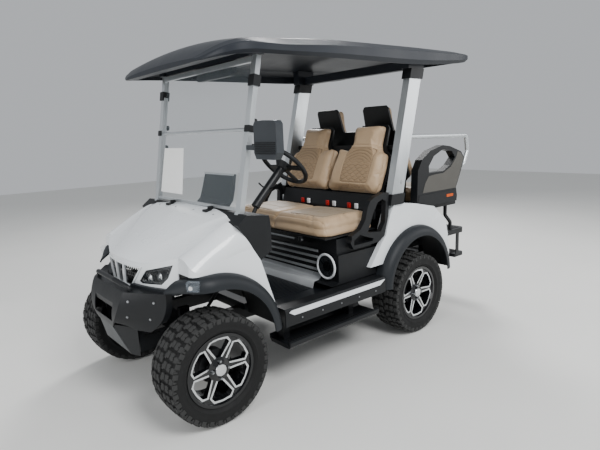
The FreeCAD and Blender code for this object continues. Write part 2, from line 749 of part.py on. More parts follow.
grille_ring = nose_ring("grille_ring", 5, 5, up(660), up(830))
grille_face = prism("grille_face", Y, [
    inset(across(GRILLE), seat), across(GRILLE_SIDE), across([(-x, z) for x, z in GRILLE_SIDE]),
    across(GRILLE_MIDDLE)], front(-1500), front(-1200))
node(common("grille_frame", grille_ring, grille_face), "grille_frame")
mesh_ring = nose_ring("mesh_ring", -5 - seat, 9, up(660), up(830))
mesh_face = prism("mesh_face", Y, [inset(across(GRILLE), 2)], front(-1500), front(-1200))
HONEYCOMB_PITCH = 20
cells = []
for line_no in range(6):
    height = 700 + line_no * HONEYCOMB_PITCH * 0.866
    for step in range(9):
        x = 52 + (step + (line_no % 2) / 2) * HONEYCOMB_PITCH
        if 62 < x < 108 + (height - 688) * 0.84:
            cells.append((x, height))
holes = []
for x, height in cells:
    for side in (1, -1):
        cell = doc.addObject("Part::Prism", "honeycomb_cell")
        cell.Polygon = 6
        cell.Circumradius = HONEYCOMB_PITCH * 0.46
        cell.Height = 300
        cell.Placement.Rotation = Rotation(Vector(1, 0, 0), 90)
        bind(cell, "Placement.Base.x", 0.0 + side * x)
        bind(cell, "Placement.Base.y", front(-1200))
        bind(cell, "Placement.Base.z", up(height))
        holes.append(cell)
node(cut("grille_mesh", common("mesh_plate", mesh_ring, mesh_face), together("mesh_cells", holes)), "grille_mesh")

lamp_outline = inset(across(LAMP), seat)
lens_ring = nose_ring("lens_ring", 0, 3, up(690), up(860))
pair("lamp_lenses", common("lens_left", lens_ring, prism(
    "lens_face", Y, [lamp_outline], front(-1500), front(-1100))))
cup_ring = nose_ring("cup_ring", -3 - seat, 44, up(690), up(860))
cup_hollow = nose_ring("cup_hollow", 10, 38, up(690), up(860))
cup = cut("lamp_cup", common("cup_block", cup_ring, prism(
    "cup_face", Y, [lamp_outline], front(-1500), front(-1100))),
    common("cup_inside", cup_hollow, prism("cup_mouth", Y, [inset(across(LAMP), 6)], front(-1500), front(-1100))))
pair("headlamps", fuse("lamp_left", [
    cup,
    rod("projector_inner", (out(272), front(-1347), up(750)), (out(272), front(-1310), up(750)), 22),
    rod("projector_outer", (out(336), front(-1322), up(764)), (out(336), front(-1288), up(764)), 22),
]))
ledge_cut = prism("ledge_cut", Y, [inset(across(GRILLE), -seat)], front(-1500), front(-1200))
node(cut("nose_ledge", nose_ring("ledge_ring", 20, 10, up(678), up(706) - seat, 449), ledge_cut), "nose_ledge")

# Flares and liners

def flare_section(lip, top, shift):
    """A flare's section; its lip and its upper edge are heights."""
    wall = dim.flare_wall
    return [
        (flare_in - shift, top - wall), (flare_in - shift, top), (out(596) - shift, top, (out(641) - shift, top - 22)),
        (flare_out - shift, lip + wall), (flare_out - shift, lip), (flare_out - shift - wall, lip),
        (flare_out - shift - wall, lip + wall, (out(633) - shift, top - 29)), (out(594) - shift, top - wall),
    ]


def arch_ring(label, axle_y, section, first, last):
    """A section swept round an arch between two angles."""
    body = new_body(label)
    turn(body, section, last - first)
    place(body, (0.0, axle_y, arch_z), Rotation(Vector(1, 0, 0), first - 90))
    return body


CORNER_X, CORNER_Y, CORNER_TURN = 525, -1178, 62
front_ring = arch_ring("front_arch", dim.front_axle_y, flare_section(dim.arch_radius, flare_radius, 0), FLARE_START, 90)
lip_z, top_z = arch_z + dim.arch_radius, arch_z + flare_radius
run = prism("flare_run", Y, [flare_section(lip_z, top_z, 0)], front(CORNER_Y), dim.front_axle_y)
corner = new_body("flare_corner")
turn(corner, flare_section(lip_z, top_z, out(CORNER_X)), CORNER_TURN, "V_Axis")
place(corner, (out(CORNER_X), front(CORNER_Y), 0.0), Rotation(Vector(0, 0, 1), -CORNER_TURN))
nose_run = new_body("flare_nose")
loft(nose_run, Y, [
    (0.0, flare_section(lip_z, top_z, out(CORNER_X))),
    (-165.0, flare_section(lip_z - 16, top_z - 46, out(CORNER_X)))])
place(nose_run, (out(CORNER_X), front(CORNER_Y), 0.0), Rotation(Vector(0, 0, 1), -CORNER_TURN))
flare_front = cut("flare_front", fuse("flare_front_solid", [front_ring, run, corner, nose_run]), box(
    "flare_tip_trim", (0, out(449.7)), (front(-1500), front(-1100)), (up(600), up(900))))
marker = math.radians(54)
marker_at = (out(CORNER_X) + 112 * math.cos(marker), front(CORNER_Y) - 112 * math.sin(marker), top_z - 34)
marker_end = (out(CORNER_X) + 138 * math.cos(marker), front(CORNER_Y) - 138 * math.sin(marker), top_z - 38)
marker_hole = bar("marker_hole", marker_at, marker_end, 62, 46, (math.sin(marker), math.cos(marker), 0))
pair("front_flares", cut("flare_left", flare_front, marker_hole))
pair("marker_lamps", bar("marker_left", marker_at, marker_end, 61.4, 45.4, (math.sin(marker), math.cos(marker), 0)))
pair("rear_flares", arch_ring(
    "rear_arch", rear_axle_y, flare_section(dim.arch_radius, flare_radius, 0), FLARE_START, FLARE_END))
liner_low = flare_radius - dim.flare_wall
liners = [
    arch_ring("liner_left", axle_y, [
        (out(inner), liner_low), (flare_in - seat, liner_low), (flare_in - seat, liner_low + 5),
        (out(inner), liner_low + 5)], FLARE_START, last)
    for axle_y, inner, last in ((dim.front_axle_y, 300, 90), (rear_axle_y, 395.3, FLARE_END))]
pair("wheel_liners", together("liners_left", liners))

# Bumper

GUARD = [
    # height, rear corner, front corner
    (690, 425, -1345, 215, -1480),
    (600, 420, -1350, 200, -1512),
    (480, 330, -1400, 100, -1512),
]


def guard_outline(row, wall):
    height, rear_x, rear_y, nose_x, nose_y = row
    return [
        (0.0 - out(rear_x) + wall, front(rear_y) + 60), (0.0 - out(rear_x) + wall, front(rear_y) + wall / 2),
        (0.0 - out(nose_x) + wall / 2, front(nose_y) + wall), (out(nose_x) - wall / 2, front(nose_y) + wall),
        (out(rear_x) - wall, front(rear_y) + wall / 2), (out(rear_x) - wall, front(rear_y) + 60)]


guard = new_body("guard")
loft(guard, Z, [(up(row[0]), guard_outline(row, 0)) for row in GUARD])
guard_inside = new_body("guard_inside")
loft(guard_inside, Z, [(up(row[0] + lift), guard_outline(row, 7)) for row, lift in zip(GUARD, (-7, 0, -20))])


def skid_plate(label, rows):
    """The bumper's lower plate or the space behind it; rows: height, rear corner, front corner."""
    body = new_body(label)
    loft(body, Z, [
        (up(height), [
            (-out(rear_x), front(rear_y)), (-out(nose_x), front(nose_y)),
            (out(nose_x), front(nose_y)), (out(rear_x), front(rear_y))])
        for height, rear_x, rear_y, nose_x, nose_y in rows])
    return body


skid = skid_plate("skid", [(490, 250, -1436, 100, -1509), (328, 240, -1428, 180, -1454)])
skid_inside = skid_plate("skid_inside", [(500, 260, -1427, 100, -1502), (318, 250, -1419, 178, -1447)])
guard_back = nose_ring("guard_back", 22 - seat, 300, up(450), up(720), 449)
guard_leg = box("guard_leg", (rail_in, rail_out - 8), (front(-1437), front(-1425) - seat), (frame_low + 50, up(688)))
guard_shell = cut("guard_shell", guard, together("guard_hollow", [
    guard_inside, box("guard_panel", (-130, 130), (front(-1530), front(-1507)), (up(520), up(640)))]))
loop = tube("guard_loop", [
    (-out(221), front(-1440), up(678)), (-out(221), front(-1452), up(712)), (-out(120), front(-1482), up(738)),
    (out(120), front(-1482), up(738)), (out(221), front(-1452), up(712)), (out(221), front(-1440), up(678))], 30, 13)
node(cut("bumper_guard", fuse("guard_parts", [
    guard_shell, cut("skid_shell", skid, skid_inside), guard_leg, mirrored("guard_leg_right", guard_leg), loop]),
    guard_back), "bumper_guard")

# Dash, windscreen and mirrors

DASH = [(-1000, 1010), (-866, 803), (-789, 844), (-788, 977), (-798, 1038), (-900, 1050), (-940, 1057)]
POD = [(-850, 1038), (-806, 1034), (-765, 1085), (-748, 1150), (-735, 1236), (-752, 1240), (-778, 1150), (-800, 1085)]
post_top = roof_low - 2.6


def on_post(height, x_shift=0.0, y_shift=0.0):
    """A point on the left post's middle line."""
    part = (height - up(1049)) / (post_top - up(1049))
    return (out(491) + part * 28 + x_shift, front(-919) + part * 142 + y_shift, height)


def post(label, low, high, grow=0.0, stretch=0.0):
    """A length of the left post, or a boot or hole round it."""
    return bar(label, on_post(low), on_post(high), dim.post_width + grow, dim.post_depth + grow + stretch)


dash_top = prism("dash_top", X, [carry(DASH, front, up)], -out(588), out(588))
dash_ahead = prism("dash_ahead", Z, [[
    (-out(490) - seat, front(-981) + seat, (0.0, front(-899) + seat)), (out(490) + seat, front(-981) + seat),
    (out(490) + seat, front(-1100)), (-out(490) - seat, front(-1100))]], up(700), up(1150))
dash_under = prism("dash_under", X, [carry([
    (-980, 990), (-868, 815), (-801, 850), (-801, 972), (-812, 1030), (-935, 1044)], front, up)], -out(575), out(575))
foot_gap = prism("foot_gap", X, [inset(carry(POST_FOOT, front, up), -4)], out(471), out(511))
foot_crown_gap = box("foot_crown_gap", (out(471), out(511)), (front(-948), front(-928)), (up(1046), up(1068)))
dash_holes = together("dash_holes", [
    dash_ahead, dash_under, foot_gap, mirrored("foot_gap_right", foot_gap), column_hole,
    foot_crown_gap, mirrored("foot_crown_gap_right", foot_crown_gap),
    post("post_gap", up(1000), up(1200), 0.6),
    mirrored("post_gap_right", post("post_gap_left", up(1000), up(1200), 0.6)),
    prism("hood_gap", Z, [[(-out(495), front(-1100)), (out(495), front(-1100)), (out(495), front(-985)),
                           (-out(495), front(-985))]], up(700), up(1150)),
])
node(fuse("dash", [
    cut("dash_shell", dash_top, dash_holes),
    prism("display_pod", X, [carry(POD, front, up)], -130, 200),
]), "dash")
toe_panel = prism("toe_panel", X, [carry([
    (-784, 510.3), (-796, 510.3), (-878, 790), (-868, 802.5), (-862, 800)], front, up)], -out(545), out(545))
toe_gap = wheel_gap("toe_wheel_gap", out(299.7))
node(cut("toe_board", toe_panel, together("toe_holes", [
    toe_gap, mirrored("toe_wheel_gap_right", toe_gap),
    *[rod("toe_gap", a, b, radius + seat) for a, b, radius in column_parts]])), "toe_board")

foot = prism("post_foot", X, [carry(POST_FOOT, front, up)], out(472), out(510))
post_left = fuse("post_left", [post("post_bar", up(1030), post_top), foot])
rails = [
    bar("hoop_top", on_post(roof_low - 20, -12, -4), tuple(
        v * s for v, s in zip(on_post(roof_low - 20, -12, -4), (-1, 1, 1))), 26, 26, (0, 1, 0)),
    rod("mid_rail", on_post(up(1492)), tuple(v * s for v, s in zip(on_post(up(1492)), (-1, 1, 1))), 10),
    bar("base_strip", on_post(up(1072)), tuple(
        v * s for v, s in zip(on_post(up(1072)), (-1, 1, 1))), 14, 16, (0, 1, 0)),
]
node(fuse("windscreen_frame", [post_left, mirrored("post_right", post_left), *rails]), "windscreen_frame")


def pane(label, low, high):
    """A flat pane between the posts, from one height to another."""
    a, b = on_post(low), on_post(high)
    reach = a[0] - dim.post_width / 2 - seat
    return bar(label, (0, a[1], a[2]), (0, b[1], b[2]), reach * 2, dim.pane)


pane_cut = together("pane_cuts", [
    rod("pane_mid", (-out(490), on_post(up(1492))[1], up(1492)), (out(490), on_post(up(1492))[1], up(1492)), 10.3)])
node(cut("windscreen_panes", together("panes", [
    pane("pane_low", up(1081), up(1480)), pane("pane_high", up(1503), roof_low - 38)]), pane_cut), "windscreen_panes")
boots = [(up(1712), up(1768), 16), (up(1478), up(1512), 12)]
boot_parts = [
    cut("boot_shell", post("boot_block", low, high, grow), post("boot_gap", low - 5, high + 5, 0.6))
    for low, high, grow in boots]
boots_left = cut("boots_left", together("boots", boot_parts), together("boot_gaps", [
    rod("boot_mid_gap", (0, on_post(up(1492))[1], up(1492)), on_post(up(1492)), 10.3),
    box("boot_pane_gap", (0, out(493)), (front(-950), front(-740)), (up(1400), up(1860)))]))
mirror_case = new_body("mirror_case")
pad(mirror_case, Y, [[
    (out(582), up(1372)), (out(584), up(1420)), (out(586), up(1516)), (out(598), up(1530)), (out(668), up(1532)),
    (out(756), up(1526)), (out(768), up(1512)), (out(770), up(1372)), (out(745), up(1338)), (out(600), up(1340))]],
    front(-870), front(-824))
mirror_arm = bar("mirror_arm", on_post(up(1400), 21.3), (out(606), front(-848), up(1396)), 40, 24, (0, 1, 0))
door_mirror = fuse("door_mirror", [mirror_case, mirror_arm])
inner_mirror = new_body("inner_mirror")
pad(inner_mirror, Y, [[
    (-160, up(1812)), (-140, up(1799)), (230, up(1799)), (250, up(1812)), (250, up(1862)), (236, up(1868)),
    (-146, up(1868)), (-160, up(1862))]], front(-752), front(-722))
cabin_mirror = fuse("cabin_mirror", [inner_mirror, box(
    "mirror_stem", (30, 60), (front(-766), front(-738)), (up(1840), roof_low - seat))])
node(together("both_mirrors", [door_mirror, cabin_mirror]), "mirrors")

# Roof and rear pillars

ROOF_STATIONS = [
    # along the cart, half width, underside, edge and crown above the roof line
    (-1080, 440, -40, -26, -14),
    (-1040, 560, -34, 0, 30),
    (-960, 632, -22, 30, 78),
    (-760, 654, -10, 44, 118),
    (-400, 660, 0, 68, 150),
    (0, 660, 7, 86, 166),
    (500, 660, 20, 106, 176),
    (850, 656, 48, 120, 176),
    (1080, 632, 80, 130, 168),
    (1170, 540, 114, 136, 156),
]


def roof_outline(row, wall, low=None):
    y, half, base, edge, crown = row
    half = out(half) - wall
    low = roof_low + base if low is None else low
    edge, crown = roof_low + edge - wall, roof_low + crown - wall
    brow = half - 70
    return [
        (0.0 - half + 20, low), (half - 20, low), (half, low + (edge - low) * 0.3), (half, edge - 8),
        (half - 14, edge), (brow, edge + (crown - edge) * 0.4, (0.0, crown + (crown - edge) * 0.1)),
        (0.0 - brow, edge + (crown - edge) * 0.4), (0.0 - half + 14, edge), (0.0 - half, edge - 8),
        (0.0 - half, low + (edge - low) * 0.3)]


def roof_line(y):
    return front(y) if y < 0 else rear(y)


roof_body = new_body("roof_outside")
loft(roof_body, Y, [(roof_line(row[0]), roof_outline(row, 0)) for row in ROOF_STATIONS])
roof_hollow = new_body("roof_hollow")
loft(roof_hollow, Y, [
    (roof_line(row[0]), roof_outline(row, dim.roof_wall + 14, roof_low - 60)) for row in ROOF_STATIONS[2:9]])
pillar_foot = up(966) + seat
pillar_back = rear(226)
rib_parts = []
for x, wide, line, near, far, tall in ((486, 56, front, -812, -748, 64), (527, 62, rear, 420, 590, 110)):
    rib = box("roof_rib", (out(x), out(x) + wide), (line(near), line(far)), (roof_low, roof_low + tall))
    rib_parts += [rib, mirrored("roof_rib_right", rib)]
for line, near, far in ((front, -795, -755), (rear, 480, 530)):
    rib_parts.append(box("roof_beam", (-out(530), out(530)), (line(near), line(far)), (roof_low, roof_low + 60)))
roof_cut = cut("roof_shell", roof_body, roof_hollow)
node(fuse("roof", [roof_cut, *rib_parts]), "roof")


def pillar_outline(extra_front, extra_rear, low, high):
    """Side view of a length of the leaning pillar, made wider by the extras."""
    def line(height):
        return pillar_back + (height - up(966)) * 0.2441
    return [
        (line(low) - extra_front, low), (line(low) + dim.pillar_long + extra_rear, low),
        (line(high) + dim.pillar_long + extra_rear, high), (line(high) - extra_front, high)]


pillar_out = out(592)
pillar_in = pillar_out - dim.pillar_deep
pair("rear_pillars", prism(
    "pillar_left", X, [pillar_outline(0, 0, pillar_foot, roof_low - seat)], pillar_in, pillar_out))


def pillar_boot(label, low, high):
    block = prism(label, X, [pillar_outline(9, 9, low, high)], pillar_in - 9, pillar_out + 9)
    gap = prism(label + "_gap", X, [pillar_outline(seat, seat, low - 5, high + 5)], pillar_in - seat, pillar_out + seat)
    return cut(label + "_shell", block, gap)


pair("post_boots", together("boots_side", [
    boots_left, pillar_boot("boot_low", pillar_foot, up(1040)),
    pillar_boot("boot_high", roof_low - 66, roof_low - seat)]))

# Seat base

base_front, base_rear = rear(-240), rear(140)
front_pin_y, front_pin_z = rear(-330), up(785)
rear_pin_y, rear_pin_z = rear(1195), up(884)
base_top = cushion_low - 3.3
UPPER_SKIN = [
    (-out(530), base_front + 6), (out(530), base_front + 6), (out(530), base_rear), (-out(530), base_rear)]
base = new_body("seat_base")
pad(base, X, [carry([
    (-240, 700), (-240, 526), (-262, 514), (-300, 510.3), (120, 510.3), (120, 700)], rear, up)], -out(552), out(552))
pad(base, Z, [UPPER_SKIN], up(690), base_top)
pad(base, Z, [[(-out(520), rear(-228)), (out(520), rear(-228)), (out(520), rear(128)), (-out(520), rear(128))]],
    floor_high, base_top, cut=True)
pad(base, X, [carry([
    (130, 560), (1010, 560), (1010, 868), (172, 868), (172, 796), (130, 796)], rear, up)], -out(394), out(394))
pad(base, Z, [[(-out(382), rear(205)), (out(382), rear(205)), (out(382), rear(998)), (-out(382), rear(998))]],
    up(500), up(856), cut=True)
pad(base, Z, [[(-out(501.7), rear(560)), (out(501.7), rear(560)), (out(501.7), rear(1180)), (-out(501.7), rear(1180))]],
    up(860), up(901.7))
pad(base, Z, [[(-out(580), rear(290)), (out(580), rear(290)), (out(580), rear(366)), (-out(580), rear(366))]],
    up(860), up(960.7))
pad(base, Z, [[(-out(480), rear(240)), (out(480), rear(240)), (out(480), rear(560)), (-out(480), rear(560))]],
    up(868), up(980), cut=True)
for x in (-280, 250):
    pad(base, X, [[
        (front_pin_y - 12, front_pin_z - 10), (front_pin_y + 12, front_pin_z - 10), (base_front + 13, front_pin_z - 40),
        (base_front + 13, front_pin_z + 10), (front_pin_y - 12, front_pin_z + 10)],
        (front_pin_y, front_pin_z, dim.hinge_pin + seat)], x, x + 30)
    pad(base, X, [[
        (rear_pin_y - 20, rear_pin_z - 11), (rear_pin_y + 11, rear_pin_z - 11), (rear_pin_y + 11, rear_pin_z + 11),
        (rear_pin_y - 20, rear_pin_z + 11)],
        (rear_pin_y, rear_pin_z, dim.hinge_pin + seat)], x, x + 30)
node(base, "seat_base")
slat_pitch = 42
slats = [
    prism("slat", X, [[
        (base_front - seat, up(577) + index * slat_pitch - 9), (base_front - seat, up(577) + index * slat_pitch + 9),
        (base_front - 9, up(577) + index * slat_pitch + 5), (base_front - 9, up(577) + index * slat_pitch - 5)]],
        -out(368), out(368))
    for index in range(int(dim.slat_count))]
node(together("seat_base_slats", slats), "seat_base_slats")


def speaker_disc(label, behind, ahead, radius):
    """A disc of the left speaker, between two distances ahead of the seat base."""
    return rod(label, (out(455), base_front - behind, up(618)), (out(455), base_front - ahead, up(618)), radius)


speaker = fuse("speaker_solid", [
    speaker_disc("speaker_ring", seat, 12, dim.speaker_radius - 2), speaker_disc("speaker_dome", seat, 16, 30)])
speaker_groove = cut(
    "speaker_groove", speaker_disc("speaker_dish", 5, 20, dim.speaker_radius - 14), speaker_disc("speaker_core", 0, 30, 30))
pair("speakers", cut("speaker_left", speaker, speaker_groove))

# Seats


def cushion(label, half, near, far, low, high, nose, corner=70):
    """A seat cushion: rounded in plan, domed on top, with a rolled front edge."""
    body = new_body(label)
    edge = 26
    plan = [
        (0.0 - half + corner, near), (half - corner, near, (half - corner * 0.29, near + corner * 0.29)),
        (half, near + corner), (half, far - 30), (half - 30, far), (0.0 - half + 30, far), (0.0 - half, far - 30),
        (0.0 - half, near + corner, (0.0 - half + corner * 0.29, near + corner * 0.29))]
    pad(body, Z, [plan], low, high)
    trim = new_body(label + "_side_trim")
    pad(trim, X, [[
        (near - 50, low - 20), (near + nose * 0.35, low - 20), (near + nose * 0.3, low),
        (near, low + (high - low) * 0.35),
        (near + 4, low + (high - low) * 0.66, (near + 22, high - 12)), (near + 64, high), (far - edge, high),
        (far, high - edge), (far + 50, high - edge), (far + 50, high + 60), (near - 50, high + 60)]],
        0.0 - half - 20, half + 20)
    return cut(label + "_solid", body, trim)


def hinge_side(label, pin_y, pin_z, near, far, top):
    """A hinge pin and the two ears that carry it under a seat board."""
    return [
        rod(label + "_pin", (-300, pin_y, pin_z), (300, pin_y, pin_z), dim.hinge_pin),
        *[box(label + "_ear", (x, x + 14), (near, far), (pin_z - 8, top)) for x in (-300, 286)]]


front_half = out(539)
seat_board = box(
    "seat_board", (0.0 - front_half + 40, front_half - 40), (rear(-300), rear(130)), (cushion_low - 3, cushion_low + 6))
front_pads = cushion("front_pad", front_half, rear(-345), rear(165), cushion_low + 4, cushion_high, 60)
node(fuse("front_cushion", [front_pads, seat_board, *hinge_side(
    "front_hinge", front_pin_y, front_pin_z, front_pin_y - 8, front_pin_y + 34, cushion_low + 5)]), "front_cushion")
rear_half = out(454)
rear_low = up(905)
rear_high = rear_low + dim.rear_cushion_thick + 10
rear_pad = cushion("rear_pad", rear_half, rear(720), rear(1190), rear_low, rear_high, 60)
place(rear_pad, (0.0, rear(720) + rear(1190), 0.0), Rotation(Vector(0, 0, 1), 180))
node(fuse("rear_cushion", [rear_pad, *hinge_side(
    "rear_hinge", rear_pin_y, rear_pin_z, rear_pin_y - 10, rear_pin_y + 8, rear_low + 30)]), "rear_cushion")


def backrest(label, wide, tall, head_low, head_high, head_in, head_out, thick):
    """A left backrest standing at its own origin, its face towards -Y."""
    body = new_body(label)
    pad(body, Y, [[
        (2, 18), (20, 0.0), (wide - 30, 0.0), (wide, 34), (wide + 4, tall - 120, (wide - 4, tall - 40)),
        (wide - 62, tall), (head_out, head_low), (head_out - 4, head_high - 18), (head_out - 22, head_high),
        (head_in + 22, head_high), (head_in + 4, head_high - 18), (head_in, head_low), (head_in - 12, tall),
        (2, tall)]], 0.0, thick)
    pad(body, X, [[
        (-40, -20), (30, -20), (4, 60), (0.0, tall - 40), (12, head_low), (10, head_high - 40), (28, head_high),
        (28, head_high + 40), (-40, head_high + 40)]], -10, wide + 60, cut=True)
    return body


def leaning(piece, y, z, lean_angle, rear_facing=False):
    """Stand a backrest up and lean it back."""
    if rear_facing:
        place(piece, (0.0, y, z), Rotation(Vector(1, 0, 0), lean_angle))
    else:
        place(piece, (0.0, y, z), Rotation(Vector(1, 0, 0), 0.0 - lean_angle))
    return piece


front_back = leaning(backrest("front_back", 500, 330, 372, 520, 135, 418, dim.back_thick),
                     rear(186), up(1045), float(dim.back_lean))
pair("front_backrests", front_back)


def back_shell(label, outline, behind, thick):
    body = new_body(label)
    pad(body, Y, [outline], behind, behind + thick)
    return body


front_shell = leaning(back_shell("front_shell", [
    (1, 20), (18, 2), (470, 2), (488, 34), (488, 290), (440, 334), (425, 372), (414, 500), (396, 522), (158, 522),
    (140, 500), (132, 372), (120, 334), (1, 334)], dim.back_thick + seat, 16),
    rear(186), up(1045), float(dim.back_lean))
rear_shell_body = back_shell("rear_shell", [
    (-400, 0.0), (400, 0.0), (440, 40), (440, 330), (380, 396), (368, 560), (350, 582), (148, 582), (130, 560),
    (118, 396), (-118, 396), (-130, 560), (-148, 582), (-350, 582), (-368, 560), (-380, 396), (-440, 330),
    (-440, 40)], 0.0 - dim.back_thick - seat - 16, 16)
rear_shell = fuse("rear_shell_solid", [
    leaning(rear_shell_body, rear(733), up(1112), float(dim.rear_back_lean), True),
    prism("shell_foot", X, [carry([(628, 902), (644, 902), (657, 1088), (641, 1088)], rear, up)], -out(400), out(400))])
back_panel = prism("back_panel", X, [carry([
    (172.5, 868.3), (190, 868.3), (190, 930), (224, 1029), (208, 1029), (172.5, 930)], rear, up)], -out(492), out(492))
node(together("all_shells", [
    front_shell, mirrored("front_shell_right", front_shell), rear_shell, back_panel]), "back_shells")
rear_back = new_body("rear_back")
pad(rear_back, Y, [[
    (2, 18), (20, 0.0), (420, 0.0), (446, 34), (450, 230, (440, 300)), (392, 345), (372, 400), (360, 560), (338, 584),
    (150, 584), (132, 560), (126, 400), (114, 345), (2, 345)]], 0.0 - dim.back_thick, 0.0)
pad(rear_back, X, [[
    (40, -20), (-30, -20), (-4, 60), (0.0, 290), (-12, 390), (-10, 546), (-28, 584), (-28, 620), (40, 620)]],
    -10, 500, cut=True)
leaning(rear_back, rear(733), up(1112), float(dim.rear_back_lean), True)
pair("rear_backrests", rear_back)
cross_in = pillar_in - seat
node(together("seat_back_frame", [
    fuse("upper_cross", [
        box("upper_bar", (0.0 - cross_in, cross_in), (rear(406), rear(436)), (up(1330), up(1362))),
        box("upper_stay_left", (200, 240), (rear(435), rear(559)), (up(1334), up(1358))),
        box("upper_stay_right", (-240, -200), (rear(435), rear(559)), (up(1334), up(1358)))]),
    fuse("lower_cross", [
        box("lower_bar", (0.0 - cross_in, cross_in), (rear(322), rear(352)), (up(1060), up(1092))),
        box("lower_leg_left", (200, 240), (rear(322), rear(352)), (up(868) + seat, up(1061))),
        box("lower_leg_right", (-240, -200), (rear(322), rear(352)), (up(868) + seat, up(1061)))]),
]), "seat_back_frame")

# Armrests and grab rails

FRONT_ARM = [
    (-150, 789), (-150, 814), (-65, 847), (-20, 900), (5, 981), (30, 1020), (75, 1039), (156, 1060), (216.7, 1056),
    (216.7, 966), (214, 900), (172, 768), (113, 737), (-28, 728), (-133, 727), (-160, 771)]
FRONT_ARM_HOLE = [(64, 947), (104, 1002), (150, 1019), (188, 1000), (176, 858), (134, 802), (3, 816)]
FRONT_ARM_LOOP = [(-128, 752), (-128, 784), (-70, 812), (-10, 790), (60, 768), (50, 752)]
arm_in = out(546)
pair("front_armrests", prism("front_arm_left", X, [
    carry(FRONT_ARM, rear, up), carry(FRONT_ARM_HOLE, rear, up), carry(FRONT_ARM_LOOP, rear, up)],
    arm_in, arm_in + dim.arm_thick))
REAR_ARM = [
    (571, 941), (575, 1064), (579, 1172), (626, 1247), (724, 1307), (892, 1344), (988, 1333), (1147, 1287),
    (1194, 1238), (1154, 1137), (1087, 1008), (1105, 943), (1100, 902), (744, 900.7), (571, 936.4)]
REAR_ARM_HOLE = [
    (716, 1147), (714, 1198), (776, 1268), (893, 1314), (1017, 1293), (1062, 1245), (994, 1188), (899, 1148)]
pair("rear_armrests", prism("rear_arm_left", X, [
    carry(REAR_ARM, rear, up), carry(REAR_ARM_HOLE, rear, up)], out(502), out(560)))
rail_x = out(548)
arm_edge = prism("arm_edge", X, [inset(carry(REAR_ARM, rear, up), -0.5)], out(480), out(600))
pair("grab_rails", cut("grab_rail", tube("grab_left", [
    (rail_x, rear(463), up(1418)), (rail_x, rear(1232), up(1410)), (rail_x, rear(1256), up(1290)),
    (rail_x, rear(1206), up(1190)), (rail_x, rear(1160), up(1172))], 30, dim.grab_radius), arm_edge))

# Rear body

quarter_rear = rear_axle_y + flare_radius + 40
QUARTER_FRONT = [(23, 576), (150, 736), (181, 768), (228, 900), (264, 966)]
QUARTER_TOP = [(372, 966), (500, 950), (744, 900), (900, 780)]


def quarter_outline(gap):
    """Side view of a rear quarter, drawn in by a gap."""
    front_edge = [(y + gap, z - gap * 0.6) for y, z in carry(QUARTER_FRONT, rear, up)]
    top_edge = [(y - gap * 0.3, z - gap) for y, z in carry(QUARTER_TOP, rear, up)]
    return [
        *front_edge, *top_edge, (quarter_rear - gap, up(560)), (quarter_rear - gap, up(412 - gap * 20)),
        (rear_axle_y, up(412 - gap * 20)), (rear_axle_y, up(576 - gap * 4))]


rear_well = prism("rear_well", X, [[
    (rear_axle_y - well_radius, arch_z, (rear_axle_y, arch_z + well_radius)), (rear_axle_y + well_radius, arch_z),
    (rear_axle_y + well_radius, 200.0), (rear_axle_y - well_radius, 200.0)]], out(450), out(700))
quarter_block = fuse("quarter_block", [
    prism("quarter_side", X, [quarter_outline(0)], out(553), body_x),
    prism("quarter_top", X, [carry([
        (190, 800), (228, 900), (264, 966), (372, 966), (500, 950), (744, 900), (900, 780), (940, 650), (930, 650),
        (880, 770), (744, 860), (300, 900), (260, 860), (238, 800)], rear, up)], out(504), body_x)])
quarter_hollow = fuse("quarter_hollow", [
    prism("hollow_side", X, [quarter_outline(dim.body_wall)], out(540), body_x - dim.body_wall),
    prism("hollow_top", X, [carry([
        (246, 790), (270, 900), (285, 960.9), (368, 960.9), (497, 944.5), (738, 893), (890, 770), (890, 640),
        (700, 640), (300, 790)], rear, up)], out(500), body_x - dim.body_wall)])
pair("rear_quarters", cut("quarter_left", quarter_block, together("quarter_cuts", [quarter_hollow, rear_well])))

plate_low = up(585) + seat
plate_high = plate_low + dim.plate_thick
step_bracket = box("step_bracket", (out(394), out(402)), (rear(1376), rear(1418)), (up(362), plate_low + 10))
step_support = tube("step_support", [
    (out(420), rear(1240), plate_high - 10), (out(420), rear(1240), up(692)), (out(420), rear(1160), up(762)),
    (out(420), rear(1160), up(859.4))], 30, 15)
node(fuse("footplate", [
    prism("plate", Z, [[
        (-out(450), rear(1030)), (out(450), rear(1030)), (out(450), rear(1370), (out(434), rear(1412))),
        (out(392), rear(1430)), (-out(392), rear(1430), (-out(434), rear(1412))), (-out(450), rear(1370))]],
        plate_low, plate_high),
    prism("low_step", Z, [[
        (-out(400), rear(1360)), (out(400), rear(1360)), (out(400), rear(1484)), (out(376), rear(1510)),
        (-out(376), rear(1510)), (-out(400), rear(1484))]], up(355), up(385)),
    step_bracket, mirrored("step_bracket_right", step_bracket),
    step_support, mirrored("step_support_right", step_support),
]), "footplate")


def export():
    """Check every object, then write one file a node."""
    doc.recompute()
    bad = [o.Label for o in doc.Objects if "Invalid" in o.State or "Error" in o.State]
    if bad:
        raise RuntimeError(f"failed objects: {bad}")
    for piece in nodes:
        if piece.Shape.isNull() or not piece.Shape.isValid():
            raise RuntimeError(f"bad shape: {piece.Label}")
    os.makedirs("parts", exist_ok=True)
    for piece in nodes:
        piece.Shape.exportStep(f"parts/{piece.Label}.step")


export()
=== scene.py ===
import json
import math

import bmesh
import bpy
from mathutils import Matrix, Vector
from mathutils.bvhtree import BVHTree

